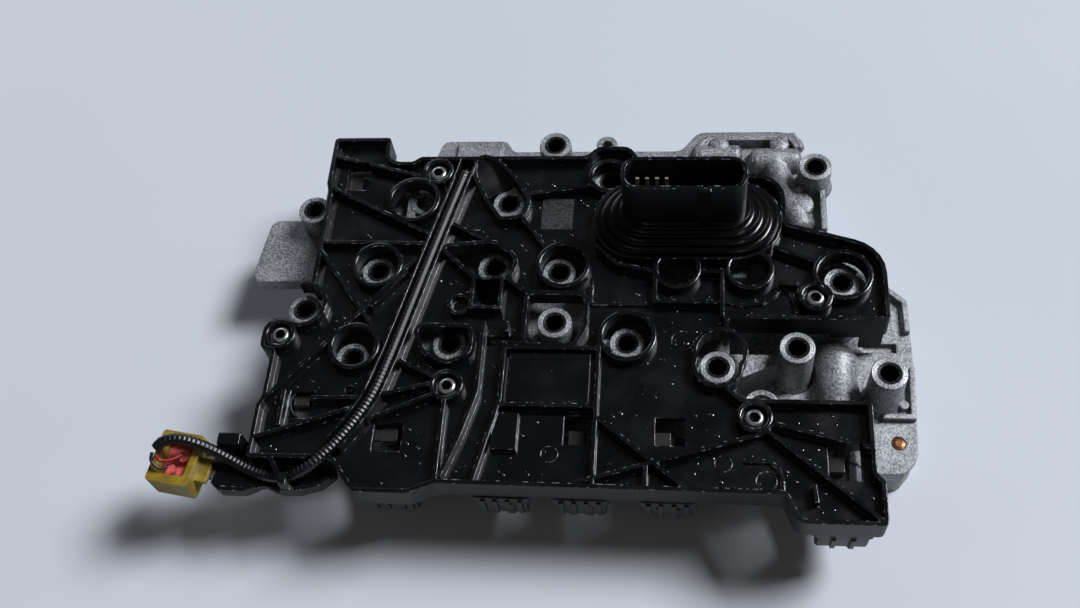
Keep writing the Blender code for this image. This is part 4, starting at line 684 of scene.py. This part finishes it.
def braid(path, length, radius):
    """radius + relief; relief is the product of the two helices' waves, plus rounded ends."""
    side, other = frames_along(path)
    angle = np.linspace(0, 2 * np.pi, AROUND, endpoint=False)[None, :]
    run = np.linspace(0, length / MM, len(path))[:, None]
    climb = np.pi * run / PITCH_MM
    relief = np.cos(4 * angle + climb) * np.cos(4 * angle - climb)
    r = (radius - RELIEF) + RELIEF * relief
    ends = np.minimum(run, run[::-1])
    r = r * np.sqrt(np.clip(ends / END_ROUND, 0, 1))
    grid = path[:, None, :] + r[..., None] * (
        np.cos(angle)[..., None] * side[:, None, :] + np.sin(angle)[..., None] * other[:, None, :]
    )
    uv = np.stack(np.broadcast_arrays(angle / (2 * np.pi), run), -1)
    return grid, uv.reshape(-1, 2)


def braided_polyester():
    """The same two waves as the relief give the colour: threads on top are painted lighter and the hollows
    darker, painted light and shade.
    """
    finish, tree, shader = new_finish("braided_polyester_sleeve", Roughness=0.36, IOR=1.5)
    place = put(tree, "SeparateXYZ", {"Vector": put(tree, "UVMap", uv_map="UVMap").outputs[0]})
    turn = math_node(tree, "MULTIPLY", place.outputs["X"], 8 * math.pi)
    climb = math_node(tree, "MULTIPLY", place.outputs["Y"], math.pi / PITCH_MM)
    first = math_node(tree, "COSINE", math_node(tree, "ADD", turn, climb))
    second = math_node(tree, "COSINE", math_node(tree, "SUBTRACT", turn, climb))
    height = math_node(tree, "MULTIPLY", first, second)
    fleck = mottle(tree, object_place(tree), 1.2, 1.0)
    # Lighter on the threads' crests and darker in the hollows: painted light and shade.
    painted_thread_light = ranged(tree, height, 0.2, 0.9, 0.0, 1.0)
    pale = math_node(tree, "MULTIPLY", painted_thread_light, ranged(tree, fleck, 0.4, 0.6, 0.2, 1.0))
    tree.links.new(mixed(tree, pale, linear("#040507"), linear("#22242d")), shader.inputs["Base Color"])
    return finish


grid, uv = braid(lead_path, lead_length, SLEEVE_RADIUS)
sleeve = make_piece("braided_sleeve", [grid], braided_polyester(), False, True, uvs=uv, smooth=80)
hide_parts("lead_sleeve")
print("braid points:", grid.shape[0] * grid.shape[1])

# %% The two wires
WIRE_ROUTES = {
    "dark": [(-142.8, -58.0, 45.2), (-142.9, -60.8, 44.0), (-140.4, -62.8, 42.2), (-137.55, -62.0, 41.0)],
    "red": [(-141.2, -59.0, 45.3), (-140.0, -60.4, 43.7), (-136.4, -59.6, 42.2), (-133.3, -57.0, 41.0)],
}


def round_tube(path, radius, around=20):
    """A circle of one radius carried along the path, closed to a point at both ends."""
    side, other = frames_along(path)
    angle = np.linspace(0, 2 * np.pi, around, endpoint=False)[None, :, None]
    size = np.full(len(path), radius)
    size[[0, -1]] = 0.0
    ring = np.cos(angle) * side[:, None, :] + np.sin(angle) * other[:, None, :]
    return path[:, None, :] + size[:, None, None] * ring


INSULATION_RADIUS = 0.62 * MM
for name, finish in (("dark", dark_wire), ("red", red_wire)):
    path, length = through(WIRE_ROUTES[name], 60)
    wire = make_piece(
        f"wire_{name}", [round_tube(path, INSULATION_RADIUS)], finish, False, True
    )
    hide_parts(f"lead_wire_{name}")
    print(name, "wire length in mm:", round(length * 1000, 1))

# %% [markdown]
# ## Return springs
# Each spool pushes a coil spring against the far end of its bore. A helix is a circle drawn
# while it moves along the bore. Each spring fills the length of the solid model's spring.

# %% Coil springs in the spools' bores
COIL_RADIUS, WIRE_RADIUS, COIL_TURNS, COIL_POINTS = 3.1, 0.5, 3, 132
BORE_HEIGHT, STROKE = 20.3, 4.0
VALVE_X = [-58.0, -18.0, 10.0, 40.5, 100.0]


def coil(x, low, high):
    """x + R cos t, y rising evenly with t, z + R sin t, for three turns of t."""
    turn = np.linspace(0, 2 * np.pi * COIL_TURNS, COIL_POINTS)
    line = np.empty((COIL_POINTS, 3))
    line[:, 0] = at(x, 0)[0] + COIL_RADIUS * MM * np.cos(turn)
    line[:, 1] = np.linspace(low, high, COIL_POINTS)
    line[:, 2] = (BORE_HEIGHT + COIL_RADIUS * np.sin(turn)) * MM
    return line


for i, x in enumerate(VALVE_X):
    low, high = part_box(f"spool_spring_{i + 1}")
    line = coil(x, low[1] + WIRE_RADIUS * MM, high[1] - WIRE_RADIUS * MM)
    wire = round_tube(line, WIRE_RADIUS * MM, 12)
    name = f"return_spring_{i + 1}"
    piece = make_piece(name, [wire], spring_steel, False, True, smooth=80)
    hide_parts(f"spool_spring_{i + 1}")
    length = high[1] - low[1]
    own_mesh(piece)
    print("spring", i + 1, "free length in mm:", round(length / MM, 2))

# %% [markdown]
# ## Smooth casting shapes
# Oil galleries and valve bores stand out of the casting as round ridges. On the real part the
# mould blends them softly. Each is a tube whose radius changes along its run, with round ends.

# %% Ridges, rim and domes of the casting
def swollen_tube(places, radii, count=70, around=36):
    """r(s) from the given radii, drawn in to a point at both ends by a half circle's curve."""
    path, length = through(places, count)
    run = np.linspace(0, length / MM, count)
    size = np.interp(np.linspace(0, 1, count), np.linspace(0, 1, len(radii)), radii)
    reach = np.clip(np.minimum(run, run[::-1]) / (0.55 * size), 0, 1)
    size = size * np.sqrt(np.clip(1 - (1 - reach) ** 2, 0, 1))
    side, other = frames_along(path)
    angle = np.linspace(0, 2 * np.pi, around, endpoint=False)[None, :, None]
    ring = np.cos(angle) * side[:, None, :] + np.sin(angle) * other[:, None, :]
    return path[:, None, :] + size[:, None, None] * MM * ring


DOME_RISE = 1.4


def dome(x, y, radius, low, high):
    """A half ellipsoid that stands on a short wall: radius cos t, height sin t."""
    tilt = np.linspace(0, np.pi / 2, 9)[:-1]
    rise = min(DOME_RISE, high - low - 0.05)
    cap = [(radius * math.cos(t), high - rise + rise * math.sin(t)) for t in tilt]
    return turned(at(x, y), [(0.02, low), (radius, low), *cap, (0.02, high)])


ridges = [
    swollen_tube([(48.2, 85.0, 27.6), (58.0, 85.0, 27.6), (68.4, 85.0, 27.6)], [5.4, 5.5, 5.4]),
    swollen_tube([(70.6, 82.9, 27.6), (81.0, 82.9, 27.8), (92.0, 82.9, 27.6)], [5.4, 5.7, 5.4]),
    swollen_tube(
        [
            (80.6, 84.0, 27.4),
            (82.6, 75.0, 27.4),
            (85.0, 66.0, 27.4),
            (88.4, 57.5, 27.4),
            (91.4, 48.0, 27.0),
        ],
        [5.6, 5.35, 5.5, 6.2, 5.4],
    ),
]
make_piece("gallery_ridges", ridges, casting, False, True, smooth=80)
rim_line = [(50.6, 86.4, 29.6), (51.6, 90.0, 29.6), (55.6, 93.0, 29.6), (71.0, 93.4, 29.6)]
rim_line += [(86.0, 93.2, 29.6), (90.2, 91.0, 29.6), (91.2, 87.0, 29.6)]
rims = [swollen_tube(rim_line, [1.95, 1.95], 120, 20)]
make_piece("back_rim_round", rims, casting, False, True, smooth=80)
BOSSES, BOSS_FOOT, BOSS_TOP = [(58.8, 88.4, 3.95), (82.8, 88.6, 3.95), (89.8, 59.0, 5.5)], 31.0, 33.4
bosses = [dome(x, y, r, BOSS_FOOT, BOSS_TOP) for x, y, r in BOSSES]
make_piece("deck_boss_domes", bosses, casting, True, True)
RIDGE_LINE = [(101.7, -0.6), (101.6, -6.0), (101.5, -12.6), (101.6, -17.0), (101.6, -30.0)]
RIDGE_HEIGHT, RIDGE_RADII = 20.9, [8.3, 8.45, 7.3, 8.1, 8.3, 8.3]
valve = swollen_tube([(x, y, RIDGE_HEIGHT) for x, y in RIDGE_LINE], RIDGE_RADII, 120, 56)
make_piece("valve_ridge_round", [valve], casting, False, True, smooth=80)
print("ridges:", len(ridges) + len(rims) + 1, "domes:", len(bosses))

# %% [markdown]
# ## Caps of the front solenoids
# Only the caps show below the plate's edge. Each is a plain moulding with a chamfered foot and
# two proud ribs. Its plan outline is swept down through a few levels that shrink at the foot.

# %% Solenoid caps
CAPS = [(-58.0, -66.2), (-18.0, -66.2), (10.0, -66.2), (40.5, -66.2), (100.0, -75.3)]
CAP_BACK = 4.4


def cap_outline(half, depth, rib):
    """Corners from side to side across the cap's front, with two ribs that stand out of it."""
    front = [(-half, 0.0), (-half, -depth + 0.8), (-half + 0.8, -depth)]
    for x in (-half * 0.34, half * 0.38):
        front += [(x - 0.9, -depth), (x - 0.7, -depth - rib), (x + 0.7, -depth - rib), (x + 0.9, -depth)]
    return np.array(front + [(half - 0.8, -depth), (half, -depth + 0.8), (half, 0.0)])


def cap_levels(x, y):
    """(half width, depth, rib, height) from the top under the plate to the foot."""
    sizes = [(0.6, 0.2, 0.0, 30.9), (10.4, 4.2, 0.0, 30.9), (10.4, 4.2, 0.0, 26.6)]
    sizes += [(9.2, 4.2, 0.9, 26.0), (9.0, 4.2, 0.9, 18.6), (8.6, 3.8, 0.9, 17.8)]
    sizes += [(0.6, 0.2, 0.0, 17.8)]
    rows = [[(x + px, y + CAP_BACK + py, z) for px, py in cap_outline(*size)] for *size, z in sizes]
    return np.array(rows) * MM + at(0, 0)


caps = [cap_levels(x, y) for x, y in CAPS]
make_piece("cap_fronts", caps, grey_nylon, True, True, smooth=30)
print("caps:", len(caps))

# %% [markdown]
# ## Small marks of the moulding
# Ejector pins left shallow rings, and small pips stand on the skin. Two squares are frosted by
# a laser and stay bare. Drops of oil lie where they fell: a ray sent down from above each tried
# place tells whether flat skin is there to carry the mark or the drop.

# %% Ejector rings, pips and bare squares
def small_ring(x, y, radius, z=SKIN):
    """A torus whose section is a flat half ellipse, 0.3 mm high."""
    section = np.linspace(0, np.pi, 7)
    profile = [(radius + 0.28 * math.cos(t), z - 0.03 + 0.3 * math.sin(t)) for t in section]
    return turned(at(x, y), profile + [(radius, z - 0.2)])


def surface_tree(node):
    """A search tree over one solid's triangles, in the part's frame."""
    solid = frame["nodes"][node]
    mesh = solid.data
    place = solid.matrix_world
    points = [place @ vertex.co for vertex in mesh.vertices]
    return BVHTree.FromPolygons(points, [tuple(face.vertices) for face in mesh.polygons])


skin_tree = surface_tree("conductor_plate")
DOWN, START_HEIGHT, SKIN_PLAY = Vector((0, 0, -1)), 90, 0.2


def on_skin(x, y, reach):
    """Whether the flat skin lies under the middle and four points round it."""
    for dx, dy in ((0, 0), (reach, 0), (-reach, 0), (0, reach), (0, -reach)):
        where = skin_tree.ray_cast(Vector(at(x + dx, y + dy, START_HEIGHT)), DOWN)[0]
        if where is None or abs(where.z / MM - SKIN) > SKIN_PLAY:
            return False
    return True


RINGS = [(59.5, -54.0, 3.0), (74.0, -60.0, 3.5), (-1.0, -52.0, 3.0), (45.0, -6.0, 4.0)]
marks = [small_ring(*place) for place in RINGS if on_skin(*place)]
make_piece("ejector_rings", marks, black_nylon, True, True)
PIPS = [(81.0, -56.5), (84.0, -60.0), (7.0, 54.0), (-6.0, -40.0), (52.0, -50.0), (-52.0, -44.0)]
PIP = 0.9
pips = [dome(x, y, PIP, SKIN - 0.1, SKIN + 0.7) for x, y in PIPS if on_skin(x, y, PIP)]
make_piece("pips", pips, black_nylon, True, True)

frosted, tree, shader = new_finish("laser_frosted_nylon", Roughness=0.55, IOR=1.45)
place = object_place(tree)
grey = ranged(tree, mottle(tree, place, 0.9, 2.0), 0.42, 0.62, 0.0, 1.0)
tree.links.new(mixed(tree, grey, linear("#0e1014"), linear("#34363b")), shader.inputs["Base Color"])


def flat_pad(x0, y0, x1, y1):
    """A slab 0.05 mm proud of the skin, as two square rings between two centre points."""
    corners = np.array([(x0, y0), (x1, y0), (x1, y1), (x0, y1)])
    centre = corners.mean(0)
    low, high = SKIN - 0.1, SKIN + 0.05
    rows = [(0.0, low), (1.0, low), (1.0, high), (0.0, high)]
    grid = [[(*(centre + (corner - centre) * share), z) for corner in corners] for share, z in rows]
    return np.array(grid) * MM + at(0, 0)


pads = [flat_pad(-10.6, 43.0, 1.8, 57.4), flat_pad(-14.6, -31.0, 6.6, -13.6)]
make_piece("bare_squares", pads, frosted, False, True, smooth=30)
print("rings:", len(marks), "pips:", len(pips), "squares:", len(pads))

# %% Drops of oil on the skin
DROP_SEED, DROP_TRIES, DROP_ROOM, SMALLEST, LARGEST = 11, 900, 1.4, 0.25, 1.1
DROP_AREA = (-120, -72), (115, 84)


def drop(centre, radius, stretch, turn):
    """A low cap on an ellipse: radius (1 - h^2) outwards, rising by a third of the radius."""
    share = np.array([0.0, 1.0, 0.96, 0.8, 0.55, 0.28, 0.0])
    rise = np.array([-0.1, -0.1, 0.06, 0.2, 0.29, 0.33, 0.34])
    around = np.linspace(0, 2 * np.pi, 16, endpoint=False)
    x = share[:, None] * radius * stretch * np.cos(around)
    y = share[:, None] * radius * np.sin(around)
    z = np.broadcast_to(rise[:, None] * radius, x.shape)
    c, s = math.cos(turn), math.sin(turn)
    return np.stack([centre[0] + x * c - y * s, centre[1] + x * s + y * c, centre[2] + z], -1)


rng = np.random.default_rng(DROP_SEED)
around_it = [Vector((dx, dy, 0)) * DROP_ROOM * MM for dx, dy in ((1, 0), (-1, 0), (0, 1), (0, -1))]
drops = []
for x, y in rng.uniform(*DROP_AREA, (DROP_TRIES, 2)):
    start = Vector(at(x, y, START_HEIGHT))
    where, normal = skin_tree.ray_cast(start, DOWN)[:2]
    radius = float(rng.gamma(3.0, 0.17))
    if where is None or normal.z < 0.99 or abs(where.z / MM - SKIN) > SKIN_PLAY:
        continue
    if not SMALLEST < radius < LARGEST:
        continue
    ring = [skin_tree.ray_cast(start + offset, DOWN)[0] for offset in around_it]
    if all(spot is not None and abs(spot.z - where.z) < 0.05 * MM for spot in ring):
        drops.append(drop(where, radius * MM, rng.uniform(1.0, 1.6), rng.uniform(0, math.pi)))
oil, tree, shader = new_finish(
    "oil_drop_on_black", Roughness=0.04, IOR=1.47, Coat_Weight=1.0, Coat_Roughness=0.02
)
shade = ranged(tree, mottle(tree, object_place(tree), 8), 0.4, 0.6, 0.0, 1.0)
tree.links.new(mixed(tree, shade, linear("#050609"), linear("#0c0e13")), shader.inputs["Base Color"])
make_piece("oil_drops", drops, oil, False, True, smooth=80)
print("drops:", len(drops))

# %% [markdown]
# ## Bright edges of the lead's channel
# The two walls of the channel have polished, rounded tops that shine along their run. A thin
# tube follows each wall: the lead's line, moved sideways along its own level normal. The tube
# is grey, far lighter than the black nylon, so its bright line is partly a painted highlight.

# %% Channel beads
WALL_OFFSET, BEAD_RADIUS, BEAD_SKIP = 3.1 * MM, 0.34 * MM, 34
edge_line = through([(x, y, RIB_TOP) for x, y in ROUTE], 300)[0]
tangent = np.gradient(edge_line, axis=0)
across = np.stack([tangent[:, 1], -tangent[:, 0], 0 * tangent[:, 0]], -1)
across /= np.linalg.norm(across, axis=1, keepdims=True)
# Grey, lighter than the black nylon of the walls: painted highlight, besides the real gloss.
bead_finish = plain_moulding(
    "rib_edge_gloss_and_painted_highlight", "#5b616c", "#2a2d33", 2.5, Roughness=0.12, Coat_Weight=1.0
)
edge_line, across = edge_line[:-BEAD_SKIP], across[:-BEAD_SKIP]
beads = [round_tube(edge_line + side * WALL_OFFSET * across, BEAD_RADIUS, 12) for side in (-1, 1)]
make_piece("channel_beads", beads, bead_finish, False, True, smooth=80)
bead_length = np.linalg.norm(np.diff(edge_line, axis=0), axis=1).sum() / MM
print("bead length in mm:", round(float(bead_length), 1))

# %% [markdown]
# ## Stage, light and camera
# The part lies on a plain pale table. One broad lamp stands behind it on the right, so that
# shadows fall forwards and to the left and the ribs catch a thin bright line, and a weak one
# fills the front. The world lights the part faintly, and shows a pale wall to the camera alone.
# The camera's place was worked out from the photograph's perspective.

# %% Table and world
floor_mesh = bpy.data.meshes.new("table")
HALF = 3
corners = [(-HALF, -HALF, 0), (HALF, -HALF, 0), (HALF, HALF, 0), (-HALF, HALF, 0)]
floor_mesh.from_pydata(corners, [], [(0, 1, 2, 3)])
table = bpy.data.objects.new("table", floor_mesh)
bpy.context.scene.collection.objects.link(table)
laminate, tree, shader = new_finish("pale_laminate", Roughness=0.6, IOR=1.3)
place = object_place(tree)
tone = ranged(tree, mottle(tree, place, 400), 0.3, 0.7, 0.0, 1.0)
tree.links.new(mixed(tree, tone, linear("#c1c8cf"), linear("#c9cfd6")), shader.inputs["Base Color"])
floor_mesh.materials.append(laminate)

world = bpy.data.worlds.new("soft_room")
bpy.context.scene.world = world
world.use_nodes = True
sky = world.node_tree.nodes["Background"]
sky.inputs["Color"].default_value = linear("#d4d2d0")
sky.inputs["Strength"].default_value = 0.06
room = world.node_tree
wall = put(room, "Background", {"Color": linear("#c4cad1"), "Strength": 0.8})
seen = put(room, "LightPath").outputs["Is Camera Ray"]
choice = put(room, "MixShader", {0: seen, 1: sky.outputs[0], 2: wall.outputs[0]})
room.links.new(choice.outputs[0], room.nodes["World Output"].inputs["Surface"])
print("stage ready")


# %% Lamps
def soft_lamp(name, place, size, power, colour):
    """A square lamp that faces the middle of the part."""
    data = bpy.data.lights.new(name, "AREA")
    data.size = size
    data.energy = power
    data.color = linear(colour)[:3]
    lamp = bpy.data.objects.new(name, data)
    lamp.location = place
    lamp.rotation_euler = (Vector((0, 0, 0.02)) - Vector(place)).to_track_quat("-Z", "Y").to_euler()
    bpy.context.scene.collection.objects.link(lamp)
    return lamp


soft_lamp("key_lamp", (4.85, 2.26, 5.95), 2.8, 850.0, "#f8f9ff")
soft_lamp("window_lamp", (-0.9, 1.9, 1.3), 0.9, 6.0, "#e8f0ff")
soft_lamp("room_lamp", (-0.8, -1.6, 1.9), 1.6, 2.0, "#fff0e0")

# %% Camera
YAW, PITCH, ROLL = math.radians(-13.69), math.radians(58.90), math.radians(-11.21)
FOCAL_PX, WIDTH_PX, SENSOR_MM = 1215, 1080, 36.0
CAMERA_PLACE = (47.49, -220.69, 430.10)
forward = Vector((math.sin(YAW) * math.cos(PITCH), math.cos(YAW) * math.cos(PITCH), -math.sin(PITCH)))
level = Vector((math.cos(YAW), -math.sin(YAW), 0.0))
upward = level.cross(forward)
across = level * math.cos(ROLL) + upward * math.sin(ROLL)
above = upward * math.cos(ROLL) - level * math.sin(ROLL)
camera_data = bpy.data.cameras.new("camera")
camera_data.sensor_width = SENSOR_MM
camera_data.lens = SENSOR_MM * FOCAL_PX / WIDTH_PX
camera = bpy.data.objects.new("camera", camera_data)
turn = Matrix((across, above, -forward)).transposed().to_4x4()
camera.matrix_world = Matrix.Translation(Vector(at(*CAMERA_PLACE))) @ turn
bpy.context.scene.collection.objects.link(camera)
bpy.context.scene.camera = camera
bpy.context.scene.view_settings.view_transform = "Standard"
print("camera lens:", round(camera_data.lens, 2), "mm")
